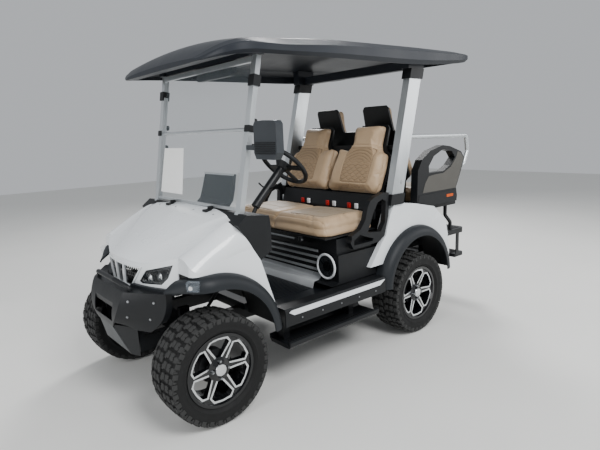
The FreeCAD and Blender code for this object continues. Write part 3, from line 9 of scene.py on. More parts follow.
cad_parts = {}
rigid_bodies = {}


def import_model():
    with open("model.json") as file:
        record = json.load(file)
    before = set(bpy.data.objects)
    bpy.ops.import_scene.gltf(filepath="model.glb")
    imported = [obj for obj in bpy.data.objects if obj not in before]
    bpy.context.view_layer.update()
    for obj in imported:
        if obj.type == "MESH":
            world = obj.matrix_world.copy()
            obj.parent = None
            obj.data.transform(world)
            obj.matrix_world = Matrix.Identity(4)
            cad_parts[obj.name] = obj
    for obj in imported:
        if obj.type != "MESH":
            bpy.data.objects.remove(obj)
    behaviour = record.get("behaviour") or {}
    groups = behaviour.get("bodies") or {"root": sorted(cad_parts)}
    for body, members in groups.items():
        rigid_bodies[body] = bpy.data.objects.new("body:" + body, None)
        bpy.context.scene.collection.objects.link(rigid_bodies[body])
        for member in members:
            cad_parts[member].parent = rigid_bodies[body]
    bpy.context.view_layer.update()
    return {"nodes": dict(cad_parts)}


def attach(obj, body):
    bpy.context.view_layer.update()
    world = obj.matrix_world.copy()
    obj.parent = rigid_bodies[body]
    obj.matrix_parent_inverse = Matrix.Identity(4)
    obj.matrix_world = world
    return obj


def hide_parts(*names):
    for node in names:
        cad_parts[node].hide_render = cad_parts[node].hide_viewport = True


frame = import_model()
scene = bpy.context.scene
MM = 0.001

# Camera and light: the camera's turn, lens and place are solved from the photo

YAW, PITCH, ROLL = math.radians(-49.2), math.radians(-10.55), math.radians(-1.97)
FOCAL, SENSOR = 28.9, 36  # mm
STOOD_AT = (2.62, -2.335, 1.453)
ahead = Vector((math.cos(PITCH) * math.sin(YAW), math.cos(PITCH) * math.cos(YAW), math.sin(PITCH)))
level = Vector((math.cos(YAW), -math.sin(YAW), 0))
rise = level.cross(ahead)
right = level * math.cos(ROLL) + rise * math.sin(ROLL)
over = rise * math.cos(ROLL) - level * math.sin(ROLL)
camera = bpy.data.objects.new("camera", bpy.data.cameras.new("camera"))
scene.collection.objects.link(camera)
camera.data.lens = FOCAL
camera.data.sensor_width = SENSOR
turned_to = Matrix((right, over, -ahead)).transposed().to_4x4()
camera.matrix_world = Matrix.Translation(STOOD_AT) @ turned_to
scene.camera = camera

LIGHTS = [
    # place, point it faces, width, watts
    ((4.5, -1.0, 4.6), (0, 0, 0.8), 2.2, 300),
    ((-3.6, 3.4, 4.4), (0, 0, 0.9), 1.8, 330),
    ((0.6, -5.4, 2.6), (0, -0.6, 0.7), 3.2, 120),
    ((3.4, 4.0, 2.4), (0, 0.6, 0.8), 2.4, 70),
]
for number, (place, target, width, watts) in enumerate(LIGHTS):
    lamp = bpy.data.objects.new(f"light_{number}", bpy.data.lights.new(f"light_{number}", "AREA"))
    lamp.data.size = width
    lamp.data.energy = watts
    lamp.location = place
    lamp.rotation_euler = (Vector(target) - Vector(place)).to_track_quat("-Z", "Y").to_euler()
    scene.collection.objects.link(lamp)
sky = bpy.data.worlds.new("studio")
scene.world = sky
sky.use_nodes = True
overcast = sky.node_tree.nodes["Background"].inputs
overcast["Color"].default_value = (0.93, 0.96, 1.0, 1)
overcast["Strength"].default_value = 0.55


# Materials

def linear(code):
    """A hex sRGB colour as linear values."""
    values = [int(code[i:i + 2], 16) / 255 for i in (0, 2, 4)]
    return (*[v / 12.92 if v <= 0.04045 else ((v + 0.055) / 1.055) ** 2.4 for v in values], 1)


def add(tree, kind, settings, links=()):
    """Adds a node, sets its options or sockets, and joins what feeds it."""
    node = tree.nodes.new(kind)
    for key, value in settings.items():
        if isinstance(key, int) or key in node.inputs:
            node.inputs[key].default_value = value
        else:
            setattr(node, key, value)
    for key, source in links:
        tree.links.new(source, node.inputs[key])
    return node


def material(name, dark, light, patch, roughness, relief=None, metallic=0.0, coat=0.0, stretch=(1, 1, 1),
             **more):
    """A finish that drifts between two shades over patches of some mm, with a fine relief of its own."""
    made = bpy.data.materials.new(name)
    made.use_nodes = True
    tree = made.node_tree
    tree.nodes.clear()
    where = add(tree, "ShaderNodeTexCoord", {})
    spread = add(tree, "ShaderNodeMapping", {"Scale": stretch}, [("Vector", where.outputs["Object"])])
    patches = add(tree, "ShaderNodeTexNoise", {"Scale": 1 / (patch * MM), "Detail": 5.0, "Roughness": 0.62},
                  [("Vector", spread.outputs["Vector"])])
    colour = add(tree, "ShaderNodeMix", {"data_type": "RGBA", 6: linear(dark), 7: linear(light)},
                 [(0, patches.outputs["Fac"])])
    gloss = add(tree, "ShaderNodeMapRange", {
        "From Min": 0.3, "From Max": 0.7, "To Min": roughness * 0.88, "To Max": min(1.0, roughness * 1.12)},
        [("Value", patches.outputs["Fac"])])
    shader = add(tree, "ShaderNodeBsdfPrincipled", {
        "Metallic": metallic, "Coat Weight": coat, "Specular IOR Level": 0.3, **more}, [
        ("Base Color", colour.outputs[2]), ("Roughness", gloss.outputs["Result"])])
    if relief:
        kind, size, depth = relief
        texture = add(tree, kind, {"Scale": 1 / (size * MM)}, [("Vector", spread.outputs["Vector"])])
        bump = add(tree, "ShaderNodeBump", {"Strength": 0.9, "Distance": depth * MM},
                   [("Height", texture.outputs[0])])
        tree.links.new(bump.outputs["Normal"], shader.inputs["Normal"])
    add(tree, "ShaderNodeOutputMaterial", {}, [("Surface", shader.outputs["BSDF"])])
    return made


NOISE, PORES = "ShaderNodeTexNoise", "ShaderNodeTexVoronoi"
# Pearl enamel over moulded panels: bright, a clear coat, hardly any orange peel
pearl = material("pearl_enamel", "D6DBDF", "E6E9EA", 420, 0.28, (NOISE, 9, 0.05), coat=0.7,
                 **{"Coat Roughness": 0.06})
# Grained ABS of the flares: mid grey where light grazes it, a leather grain drawn a little coarse
flare_grey = material("grained_abs_grey", "15181C", "1F2327", 160, 0.5, (PORES, 3.2, 0.22))
# Thermoformed ABS of the roof: dark slate, even and soft in gloss
roof_slate = material("thermoformed_abs", "1B1F25", "23272E", 300, 0.42, (NOISE, 3.0, 0.12))
# Moulded polypropylene: near black with a fine grain
trim_black = material("moulded_polypropylene", "0B0D0F", "141619", 140, 0.5, (PORES, 2.6, 0.18))
# Gloss ABS: deep black with soft haze
gloss_black = material("gloss_abs", "08090B", "0E1013", 200, 0.16, (NOISE, 14, 0.03), coat=0.3)
# Powder coat on steel: satin black, a faint orange peel
powder_black = material("powder_coat", "0E1012", "17191C", 120, 0.42, (NOISE, 2.4, 0.14))
# Powder-coated plate of the skid: its grey is a painted reflection of the kerb, drifting in patches
skid_painted_reflection = material("powder_coat_painted_reflection", "33363A", "4A4C4D", 90, 0.5, (NOISE, 3.0, 0.18))
# Anodised aluminium tube: pale, satin, with marks of the draw along its length
aluminium = material("anodised_aluminium", "B4B9BC", "D2D6D8", 260, 0.34, (NOISE, 1.6, 0.05), metallic=0.75,
                     stretch=(6, 6, 0.5))
# Satin silver lacquer on the seat base: lighter than bare metal in shade
silver = material("silver_lacquer", "A9ADB0", "C2C5C7", 120, 0.3, (NOISE, 2.0, 0.05), metallic=0.25)
# Gloss lacquer of the alloy rim: deep black with crisp highlights
rim_black = material("rim_lacquer", "07080A", "0F1114", 120, 0.2, (NOISE, 8, 0.03), coat=0.5)
# Machined alloy: bright, with a fine turned grain
machined = material("machined_alloy", "C9CCCE", "E6E8E9", 60, 0.22, (NOISE, 0.9, 0.03), metallic=0.9,
                    stretch=(1, 5, 5))
# Tyre rubber: charcoal, dusty in patches
rubber = material("tyre_rubber", "0C0D0E", "181818", 55, 0.72, (NOISE, 4.0, 0.3))
# Tread tops, paler where the road has dusted them
tread_rubber = material("tread_rubber", "242526", "3A3A39", 40, 0.8, (NOISE, 3.0, 0.35))
# Zinc-plated steel of pins, bolts and coil springs: grey, slightly blurred
steel = material("zinc_plated_steel", "7D8083", "A3A6A8", 40, 0.36, (NOISE, 1.5, 0.06), metallic=1.0)
# Cast iron: rough and dark
iron = material("cast_iron", "2C2D2F", "414244", 50, 0.66, (NOISE, 3.0, 0.5), metallic=0.6)
# Vinyl of the seats, tan; pores drawn coarser than the real 1 mm so that they show
tan_vinyl = material("tan_vinyl", "A1886A", "BCA283", 130, 0.46, (PORES, 3.0, 0.2), **{"Sheen Weight": 0.12})
# Vinyl of the quilted panels: a shade darker, so that they read as panels
quilt_vinyl = material("quilted_vinyl", "8F785C", "A68D6F", 110, 0.5, (PORES, 2.6, 0.22),
                       **{"Sheen Weight": 0.12})
# Vinyl of the seats' inset panels: the panels and their seams are real, but their darker tone is painted shade,
# the shade lying over the cushions' middles
inset_vinyl = material("inset_vinyl", "867560", "9A8971", 120, 0.5, (PORES, 2.6, 0.22),
                       **{"Sheen Weight": 0.12})
# Thread of the seams, thicker than life so that it shows
thread = material("waxed_thread", "5E4E3A", "75634C", 10, 0.7, (NOISE, 1.2, 0.2))
# Rubber floor mat, glossy with wear
mat_rubber = material("floor_rubber", "0F1114", "191C20", 90, 0.34, (NOISE, 5, 0.15))
# Moulded battery case: charcoal, soft in gloss
case_plastic = material("battery_case", "1E2124", "292C30", 120, 0.5, (NOISE, 4, 0.2))
# Paper: bright, slightly creased
paper_white = material("plain_paper", "ECECEA", "F6F6F4", 60, 0.8, (NOISE, 30, 0.2))
# Vacuum-formed panels of the rear arms: warm mid grey
arm_grey = material("thermoformed_panel", "45433F", "55534E", 110, 0.5, (PORES, 3.0, 0.18))
# Moulded polyamide of buckles and lamp covers: clear red, even
red_plastic = material("red_polyamide", "9C1616", "B82020", 12, 0.4, (NOISE, 3, 0.05))
# Prismatic acrylic reflector, its cells drawn at 3 mm so that they show
amber_plastic = material("amber_reflector", "B4470C", "D0590F", 8, 0.25, (PORES, 3, 0.2))
# Gloss ABS in white on speaker rings and belt tongues: bright, with a soft coat
white_plastic = material("white_abs", "D8DCE0", "E8EAEC", 90, 0.3, (NOISE, 6, 0.05), coat=0.3)
# Cover glass of the display: black, mirror smooth
dark_screen = material("display_glass", "05070A", "0B0F14", 60, 0.08, coat=0.6)
# Silvered glass of the mirrors and projector lenses: a clean reflection
mirror_glass = material("mirror_glass", "D4D8DA", "E0E4E6", 300, 0.03, metallic=1.0)
# ABS of the mirror case, slate grey with a light grain
grey_plastic = material("grey_abs", "2B2E32", "383C40", 90, 0.42, (PORES, 2.4, 0.15))
# Painted studio floor, pale and matt
floor_paint = material("studio_floor", "D9D9D6", "E0E0DD", 900, 0.75, (NOISE, 40, 0.2))


def clear(name, tint, roughness, opaque):
    """A thin clear sheet: light passes, and a faint tint and glint stay."""
    made = bpy.data.materials.new(name)
    made.use_nodes = True
    tree = made.node_tree
    tree.nodes.clear()
    where = add(tree, "ShaderNodeTexCoord", {})
    haze = add(tree, "ShaderNodeTexNoise", {"Scale": 6.0, "Detail": 3.0}, [("Vector", where.outputs["Object"])])
    dull = add(tree, "ShaderNodeMapRange", {"To Min": roughness, "To Max": roughness * 2.2},
               [("Value", haze.outputs["Fac"])])
    shader = add(tree, "ShaderNodeBsdfPrincipled", {
        "Base Color": linear(tint), "IOR": 1.49, "Alpha": opaque}, [("Roughness", dull.outputs["Result"])])
    add(tree, "ShaderNodeOutputMaterial", {}, [("Surface", shader.outputs["BSDF"])])
    return made


# Acrylic windscreen: nearly clear, a grey haze
acrylic = clear("clear_acrylic", "8F9AA0", 0.04, 0.1)
# Polycarbonate lamp covers: water clear with a faint glint
lens_clear = clear("clear_polycarbonate", "AEB9C4", 0.03, 0.14)
# The headlamp's cover, smoked so that the lamp reads dark
lens_smoked = clear("smoked_polycarbonate", "1B1F24", 0.03, 0.34)

LOOKS = [
    (pearl, "front_cowl grille_frame rear_quarters sill_strips"),
    (flare_grey, "front_flares rear_flares nose_ledge"),
    (roof_slate, "roof"),
    (trim_black, "back_shells dash front_armrests post_boots rear_armrests seat_base sills steering_wheel "
                 "toe_board wheel_liners"),
    (gloss_black, "grille_mesh headlamps speakers"),
    (grey_plastic, "mirrors"),
    (powder_black, "bumper_guard frame_brackets frame_members frame_rails front_subframe front_suspension "
                   "hitch_plate footplate seat_back_frame side_steps steering_column"),
    (aluminium, "grab_rails windscreen_frame rear_pillars"),
    (silver, "seat_base_slats"),
    (iron, "knuckle_left knuckle_right rear_axle"),
    (steel, "rear_springs tie_rod"),
    (acrylic, "windscreen_panes"),
    (lens_smoked, "lamp_lenses"),
    (lens_clear, "marker_lamps"),
    (tan_vinyl, "front_backrests front_cushion rear_backrests rear_cushion"),
    (mat_rubber, "floor_pan"),
    (case_plastic, "battery_block"),
    (rim_black, "rim_front_left rim_front_right rim_rear_left rim_rear_right"),
    (rubber, "tyre_front_left tyre_front_right tyre_rear_left tyre_rear_right"),
]
for look, names in LOOKS:
    for name in names.split():
        mesh = frame["nodes"][name].data
        mesh.materials.clear()
        mesh.materials.append(look)

# Shaping: all helpers take mm

SHARP = 0.35  # radians between two faces from which their edge is rounded
HEAD_TAPER = 0.82  # a bolt head's top as a share of its foot
AXES = {
    "X": lambda level, a, b: Vector((level, a, b)) * MM,
    "Y": lambda level, a, b: Vector((a, level, b)) * MM,
    "Z": lambda level, a, b: Vector((a, b, level)) * MM,
}


def soften(bm, faces, width, segments=2):
    """Rounds the edges of a set of faces by some mm."""
    edges = {
        edge for face in faces for edge in face.edges
        if len(edge.link_faces) == 2 and edge.calc_face_angle(0) > SHARP}
    bmesh.ops.bevel(bm, geom=list(edges), offset=width * MM, segments=segments, profile=0.5, affect="EDGES",
                    material=-1)


def plate(bm, axis, points, low, high, edge=0.0, segments=2):
    """A flat-sided block: an outline in mm across an axis, drawn out from low to high."""
    face = bm.faces.new([bm.verts.new(AXES[axis](low, a, b)) for a, b in points])
    grown = bmesh.ops.extrude_face_region(bm, geom=[face], use_keep_orig=True)["geom"]
    moved = [part for part in grown if isinstance(part, bmesh.types.BMVert)]
    bmesh.ops.translate(bm, verts=moved, vec=AXES[axis](high - low, 0, 0))
    faces = list({face, *[f for vert in moved for f in vert.link_faces]})
    bmesh.ops.recalc_face_normals(bm, faces=faces)
    if edge:
        soften(bm, faces, edge, segments)
    return faces


def block(bm, x, y, z, edge=0.0, segments=2):
    """A box between pairs in mm."""
    corners = [(x[0], y[0]), (x[1], y[0]), (x[1], y[1]), (x[0], y[1])]
    return plate(bm, "Z", corners, z[0], z[1], edge, segments)


def turned(bm, profile, centre, axis, steps=48, closed=True):
    """A ring or disc: (along, radius) points in mm, spun round an axis through a centre."""
    axis = Vector(axis).normalized()
    out = axis.orthogonal().normalized()
    verts = [bm.verts.new((Vector(centre) + axis * along + out * radius) * MM) for along, radius in profile]
    pairs = list(zip(verts, verts[1:])) + ([(verts[-1], verts[0])] if closed else [])
    edges = [bm.edges.new(pair) for pair in pairs]
    bmesh.ops.spin(bm, geom=verts + edges, cent=Vector(centre) * MM, axis=axis, dvec=(0, 0, 0),
                   angle=math.tau, steps=steps, use_merge=True, use_duplicate=False)
    near = [v for v in bm.verts if (v.co / MM - Vector(centre)).cross(axis).length < 1e-3]
    if near:
        bmesh.ops.remove_doubles(bm, verts=near, dist=1e-6)
    bmesh.ops.recalc_face_normals(bm, faces=bm.faces)


def wire(bm, points, radius, sides=3, cyclic=False):
    """A round bar in mm that follows a smooth line through points."""
    curve = bpy.data.curves.new("line", "CURVE")
    curve.dimensions = "3D"
    curve.bevel_depth = radius * MM
    curve.bevel_resolution = sides
    curve.resolution_u = 4
    curve.use_fill_caps = True
    spline = curve.splines.new("NURBS")
    spline.points.add(len(points) - 1)
    for point, place in zip(spline.points, points):
        point.co = (*(Vector(place) * MM), 1)
    spline.order_u = 3
    spline.use_endpoint_u = not cyclic
    spline.use_cyclic_u = cyclic
    holder = bpy.data.objects.new("line", curve)
    mesh = bpy.data.meshes.new_from_object(holder)
    bm.from_mesh(mesh)
    for thing, store in ((holder, bpy.data.objects), (curve, bpy.data.curves), (mesh, bpy.data.meshes)):
        store.remove(thing)


def studs(bm, places, facing, radius, height, sides=6):
    """Bolt heads in mm on a surface that faces one way."""
    turn = Vector((0, 0, 1)).rotation_difference(Vector(facing)).to_matrix().to_4x4()
    for place in places:
        at = Matrix.Translation((Vector(place) + Vector(facing).normalized() * height / 2) * MM) @ turn
        bmesh.ops.create_cone(bm, cap_ends=True, segments=sides, radius1=radius * MM,
                              radius2=radius * HEAD_TAPER * MM, depth=height * MM, matrix=at)


def piece(name, bm, look, body="chassis", replaces=(), smooth=34):
    """Makes a shape a named piece that rides on a body."""
    mesh = bpy.data.meshes.new(name)
    bm.to_mesh(mesh)
    bm.free()
    made = bpy.data.objects.new(name, mesh)
    scene.collection.objects.link(made)
    for each in look if isinstance(look, tuple) else (look,):
        mesh.materials.append(each)
    mesh.shade_smooth()
    mesh.set_sharp_from_angle(angle=math.radians(smooth))
    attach(made, body)
    if replaces:
        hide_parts(*replaces)
    return made


def both(bm):
    """Adds the mirror image across the middle of the cart."""
    mirrored = bmesh.ops.duplicate(bm, geom=bm.verts[:] + bm.edges[:] + bm.faces[:])["geom"]
    verts = [part for part in mirrored if isinstance(part, bmesh.types.BMVert)]
    faces = [part for part in mirrored if isinstance(part, bmesh.types.BMFace)]
    bmesh.ops.scale(bm, verts=verts, vec=(-1, 1, 1))
    bmesh.ops.reverse_faces(bm, faces=faces)


# Floor

ground = bmesh.new()
bmesh.ops.create_grid(ground, x_segments=1, y_segments=1, size=14)
ground_mesh = bpy.data.meshes.new("studio_floor")
ground.to_mesh(ground_mesh)
ground.free()
ground_mesh.materials.append(floor_paint)
studio_floor = bpy.data.objects.new("studio_floor", ground_mesh)
scene.collection.objects.link(studio_floor)

# Wheels: shaped round the origin with the outer side towards +X, then copied to the four places

TYRE_R, PITCHES = 291.5, 34  # radius over the blocks; how often the tread's pattern repeats
BLOCK_DEPTH, BLOCK_SUNK, BLOCK_CHAMFER = 11, 3, 1.5
GROOVED = 0.94  # share of its outline that a block keeps beside the grooves
TREAD_FALL = 0.00055  # how fast the tread drops away from its middle, per mm squared
PITCH_LENGTH = math.tau * TYRE_R / PITCHES
TREAD = [
    # the left half's blocks over one pitch: across, along
    [(-5, 1), (-5, 24), (-15, 30), (-15, 43), (-33, 45), (-41, 36), (-41, 8), (-24, 8), (-22, 1)],
    [(-47, 9), (-60, 3), (-79, 5), (-79, 18), (-73, 22), (-79, 30), (-79, 43), (-62, 46), (-47, 40)],
    [(-85, 1), (-112, 5), (-112, 32), (-101, 36), (-85, 31)],
]
SIDEWALL = [
    # across, radius: bead, rim guard, bulge, shoulder, tread base
    (91, 188), (92, 197), (100, 202), (108, 213), (110.5, 217), (109, 221), (112, 236), (114, 248), (114, 256),
    (112.5, 266), (106, 274), (96, 277), (60, 279.5)]
LUG_ACROSS = (106, 115.6)  # the side lugs' inner and outer ends, from the tyre's middle
SIDE_LUGS = [
    # along the pitch: from, to; radius: from, to
    (3, 31, 256, 281), (36, 46, 262, 281)]
AXLE_Z, FRONT_Y, REAR_Y, TRACK_HALF = 292, -1170, 510, 530
WHEELS = [("front_left", TRACK_HALF, FRONT_Y), ("front_right", -TRACK_HALF, FRONT_Y),
          ("rear_left", TRACK_HALF, REAR_Y), ("rear_right", -TRACK_HALF, REAR_Y)]


def crown(across):
    """The tread's radius at a distance from its middle."""
    return TYRE_R - TREAD_FALL * across * across


def join(bm, other):
    """Moves one shape into another."""
    mesh = bpy.data.meshes.new("joined")
    other.to_mesh(mesh)
    other.free()
    bm.from_mesh(mesh)
    bpy.data.meshes.remove(mesh)


def around(bm, count):
    """Repeats a shape round the wheel's axle."""
    bmesh.ops.spin(bm, geom=bm.verts[:] + bm.edges[:] + bm.faces[:], cent=(0, 0, 0), axis=(1, 0, 0),
                   dvec=(0, 0, 0), angle=math.tau * (count - 1) / count, steps=count - 1, use_merge=False,
                   use_duplicate=True)


def tread_block(bm, points, depth, chamfer):
    """A rubber block: its outline wrapped on the tyre, drawn inwards, its outer edges chamfered."""
    verts = []
    centre = [sum(values) / len(points) for values in zip(*points)]
    for x, s in [(c + (v - c) * GROOVED for v, c in zip(point, centre)) for point in points]:
        top, angle = crown(x), s / TYRE_R
        verts.append(bm.verts.new(Vector((x, top * math.sin(angle), top * math.cos(angle))) * MM))
    face = bm.faces.new(verts)
    grown = bmesh.ops.extrude_face_region(bm, geom=[face], use_keep_orig=True)["geom"]
    inner = [part for part in grown if isinstance(part, bmesh.types.BMVert)]
    for vert in inner:
        share = 1 - depth * MM / math.hypot(vert.co.y, vert.co.z)
        vert.co = (vert.co.x, vert.co.y * share, vert.co.z * share)
    faces = list({face, *[f for vert in inner for f in vert.link_faces]})
    bmesh.ops.recalc_face_normals(bm, faces=faces)
    bmesh.ops.bevel(bm, geom=face.edges[:], offset=chamfer * MM, segments=1, profile=0.5, affect="EDGES",
                    material=-1)


tyre = bmesh.new()
turned(tyre, [(-x, r) for x, r in SIDEWALL] + [(0, 280.5)] + SIDEWALL[::-1], (0, 0, 0), (1, 0, 0), steps=96)
tread = bmesh.new()
for side in (-1, 1):
    shift = PITCH_LENGTH / 2 if side > 0 else 0
    for outline in TREAD:
        points = [(x * side, s + shift) for x, s in outline]
        tread_block(tread, points, BLOCK_DEPTH + BLOCK_SUNK, BLOCK_CHAMFER)
    for near, far, low, high in SIDE_LUGS:
        lug = bmesh.new()
        block(lug, LUG_ACROSS, (near + shift, far + shift), (low, high), BLOCK_CHAMFER, 1)
        for vert in lug.verts:
            angle = vert.co.y / MM / TYRE_R
            height = vert.co.z
            vert.co = (vert.co.x * side, height * math.sin(angle), height * math.cos(angle))
        if side < 0:
            bmesh.ops.reverse_faces(lug, faces=lug.faces[:])
        join(tread, lug)
around(tread, PITCHES)

# Half of a rim window's bright edge, across and out from the axle: outer line, inner line
BAND_OUT = [(21.5, 59), (73, 134.5), (53, 167), (26, 170), (0, 172)]
BAND_IN = [(13.4, 64), (62.4, 137), (46, 157.6), (23, 160.6), (0, 163.6)]
BAND_THICK, WINDOWS = 2.4, 6
DISC_X, DISC_R, DISC_SLOPE = 70, 66, 0.147  # the rim's face: where its cone starts, and how it rises
NUTS, NUT_CIRCLE = 4, 46


def on_disc(y, z, proud=0.8):
    """A point on the rim's conical face."""
    return Vector((DISC_X + (math.hypot(y, z) - DISC_R) * DISC_SLOPE + proud, y, z)) * MM


bands = bmesh.new()
outer = [bands.verts.new(on_disc(y, z)) for y, z in BAND_OUT + [(-y, z) for y, z in BAND_OUT[-2::-1]]]
inner = [bands.verts.new(on_disc(y, z)) for y, z in BAND_IN + [(-y, z) for y, z in BAND_IN[-2::-1]]]
for a, b, c, d in zip(outer, outer[1:], inner[1:], inner):
    bands.faces.new((a, b, c, d))
grown = bmesh.ops.extrude_face_region(bands, geom=bands.faces[:], use_keep_orig=True)["geom"]
backs = [part for part in grown if isinstance(part, bmesh.types.BMVert)]
bmesh.ops.translate(bands, verts=backs, vec=(-BAND_THICK * MM, 0, 0))
bmesh.ops.recalc_face_normals(bands, faces=bands.faces)
around(bands, WINDOWS)
cap = bmesh.new()
turned(cap, [(82.3, 0), (82.3, 31), (88, 32), (91.5, 29.5), (93.5, 20), (94.4, 10), (94.8, 0)], (0, 0, 0),
       (1, 0, 0), 40, False)
nuts = bmesh.new()
for turn in range(NUTS):
    angle = math.tau * turn / NUTS
    y, z = NUT_CIRCLE * math.sin(angle), NUT_CIRCLE * math.cos(angle)
    studs(nuts, [(74, y, z)], (1, 0, 0), 10.5, 13)
    studs(nuts, [(87, y, z)], (1, 0, 0), 7, 4, 16)
WHEEL_PARTS = [
    # name, shape, look, slot, start of the node's name that it replaces
    ("casing", tyre, rubber, "tyre", "tyre_"), ("tread", tread, tread_rubber, "tyre", "tyre_"),
    ("rim_edges", bands, machined, "rim_black", ""), ("cap", cap, machined, "rim_black", ""),
    ("nuts", nuts, steel, "rim_black", "")]
for kind, shape, look, slot, node in WHEEL_PARTS:
    for name, x, y in WHEELS:
        facing = Matrix.Rotation(0 if x > 0 else math.pi, 4, "Z")
        place = Matrix.Translation(Vector((x, y, AXLE_Z)) * MM) @ facing
        copy = shape.copy()
        bmesh.ops.transform(copy, matrix=place, verts=copy.verts)
        piece(f"{kind}_{name}", copy, look, f"wheel_{name}", [node + name] if node else (), smooth=40)
    shape.free()

# Seats

PRESSURE = 4  # of the stuffing against the cover


def voxels(thing, size):
    """Rebuilds a shape in small even faces."""
    change = thing.modifiers.new("even", "REMESH")
    change.mode = "VOXEL"
    change.voxel_size = size * MM
    settle(thing)


def settle(thing):
    """Makes what the modifiers give the shape's own mesh."""
    made = bpy.data.meshes.new_from_object(thing.evaluated_get(bpy.context.evaluated_depsgraph_get()))
    thing.modifiers.clear()
    thing.data = made


def swell(pads, limit, frames=20):
    """Blows the pads up like stuffed covers; a point moves at most some mm, and the seat side stays flat."""
    for pad, _ in pads:
        cloth = pad.modifiers.new("swell", "CLOTH")
        cloth.settings.use_pressure = True
        cloth.settings.uniform_pressure_force = PRESSURE
        cloth.settings.effector_weights.gravity = 0
    for number in range(1, frames + 1):
        scene.frame_set(number)
    graph = bpy.context.evaluated_depsgraph_get()
    for pad, free in pads:
        swollen = pad.evaluated_get(graph).to_mesh()
        places = []
        for vert, new in zip(pad.data.vertices, swollen.vertices):
            shift = new.co - vert.co
            if shift.length > limit * MM:
                shift *= limit * MM / shift.length
            places.append(vert.co + shift * min(1.0, max(0.0, free(vert.co / MM))))
        pad.modifiers.clear()
        for vert, place in zip(pad.data.vertices, places):
            vert.co = place
    scene.frame_set(1)


def pad_of(name, bm, size):
    """A closed cover, ready to be swollen."""
    mesh = bpy.data.meshes.new(name)
    bm.to_mesh(mesh)
    bm.free()
    made = bpy.data.objects.new(name, mesh)
    scene.collection.objects.link(made)
    voxels(made, size)
    return made


def groove(distance, width=3.4, depth=3.2):
    """How far a sewn line pulls the cover in, in mm."""
    return -depth * math.exp(-(distance / width) ** 2)


def frame_line(x, y, half_x, half_y, corner=24):
    """Distance from a rounded rectangle's line."""
    dx, dy = abs(x) - half_x + corner, abs(y) - half_y + corner
    return abs(math.hypot(max(dx, 0), max(dy, 0)) + min(max(dx, dy), 0) - corner)


def inside(x, y, half_x, half_y):
    """Whether a point lies within a panel, measured from its middle."""
    return abs(x) < half_x and abs(y) < half_y


def sculpt(pad, relief, zones, looks):
    """Subdivides a pad once, pulls its seams in, and gives its panels their cover."""
    change = pad.modifiers.new("fine", "SUBSURF")
    change.levels = change.render_levels = 1
    settle(pad)
    mesh = pad.data
    shifts = [relief(vert.co / MM, vert.normal) for vert in mesh.vertices]
    normals = [vert.normal.copy() for vert in mesh.vertices]
    for vert, normal, shift in zip(mesh.vertices, normals, shifts):
        vert.co += normal * (shift * MM)
    mesh.materials.clear()
    for look in looks:
        mesh.materials.append(look)
    for face in mesh.polygons:
        face.material_index = zones(face.center / MM, face.normal)
        face.use_smooth = True


def rounded(half, near, far, corner, back=30):
    """A cushion's outline seen from above."""
    cut = corner * 0.29
    return [
        (-half + corner, near), (half - corner, near), (half - cut, near + cut), (half, near + corner),
        (half, far - back), (half - back, far), (-half + back, far), (-half, far - back),
        (-half, near + corner), (-half + cut, near + cut)]


# The left backrests' outlines before they lean: across, up
BACK = [
    (10, 26), (26, 8), (464, 8), (488, 40), (494, 200), (488, 290), (430, 322), (410, 368), (404, 494),
    (388, 512), (166, 512), (148, 494), (142, 368), (116, 322), (10, 322)]
REAR_BACK = [
    (10, 26), (26, 8), (412, 8), (436, 38), (440, 230), (434, 296), (384, 340), (362, 396), (350, 556),
    (332, 576), (158, 576), (140, 556), (134, 396), (106, 340), (10, 340)]
FRONT_SOLE, REAR_SOLE = 818, 912  # heights of the cushions' undersides
BACK_NEAR, BACK_FAR = 12, 72  # a backrest's sitting side and its shell side, from the plane it leans in
STUFFED = 24  # the farthest that stuffing pushes a cover out
# Inset panels of the seats: middle across and along, half sizes, corner
FRONT_INSET, REAR_INSET = (266, -92, 172, 165, 40), (222, 950, 150, 140, 36)
# Quilted panels of the backrests: middle, half width, foot, top
FRONT_QUILT, REAR_QUILT = (276, 130, 66, 322), (246, 108, 72, 312)
FRONT_HEAD, REAR_HEAD = 346, 372  # the seams under the headrests
ROW, WAVE, WAVE_LENGTH = 21, 6.5, 9.5  # quilting: from row to row, a wave's height, mm per radian of it
ARCH, ARCH_FOOT, ARCHED = 22, 0.2, 0.62  # from arch to arch; shares of the panel's height
SEAT_GIVE, BACK_GIVE = 45, 30  # depth over which a cover goes from held to free

shape = bmesh.new()
plate(shape, "Z", rounded(523, -330, 152, 70), FRONT_SOLE, 908, 26, 4)
front_cushion = pad_of("front_cushion_pad", shape, 8)
shape = bmesh.new()
plate(shape, "Z", [(x, -y) for x, y in rounded(440, -1178, -732, 60)][::-1], REAR_SOLE, 996, 22, 4)
rear_cushion = pad_of("rear_cushion_pad", shape, 8)
shape = bmesh.new()
plate(shape, "Y", BACK, BACK_NEAR, BACK_FAR, 20, 4)
front_back = pad_of("front_back_left", shape, 6)
shape = bmesh.new()
plate(shape, "Y", REAR_BACK, -BACK_FAR, -BACK_NEAR, 20, 4)
rear_back = pad_of("rear_back_left", shape, 7)
swell([
    (front_cushion, lambda p: (p.z - FRONT_SOLE) / SEAT_GIVE),
    (rear_cushion, lambda p: (p.z - REAR_SOLE) / SEAT_GIVE),
    (front_back, lambda p: (BACK_FAR - 2 - p.y) / BACK_GIVE),
    (rear_back, lambda p: (BACK_FAR - 2 + p.y) / BACK_GIVE)], STUFFED)


def crowned(x, y, height, reach_x, reach_y):
    """The soft hump of one seating place, measured from its middle."""
    across, along = math.cos(x / reach_x * math.pi / 2), math.cos(y / reach_y * math.pi / 2)
    return height * max(0.0, across) * max(0.0, along)


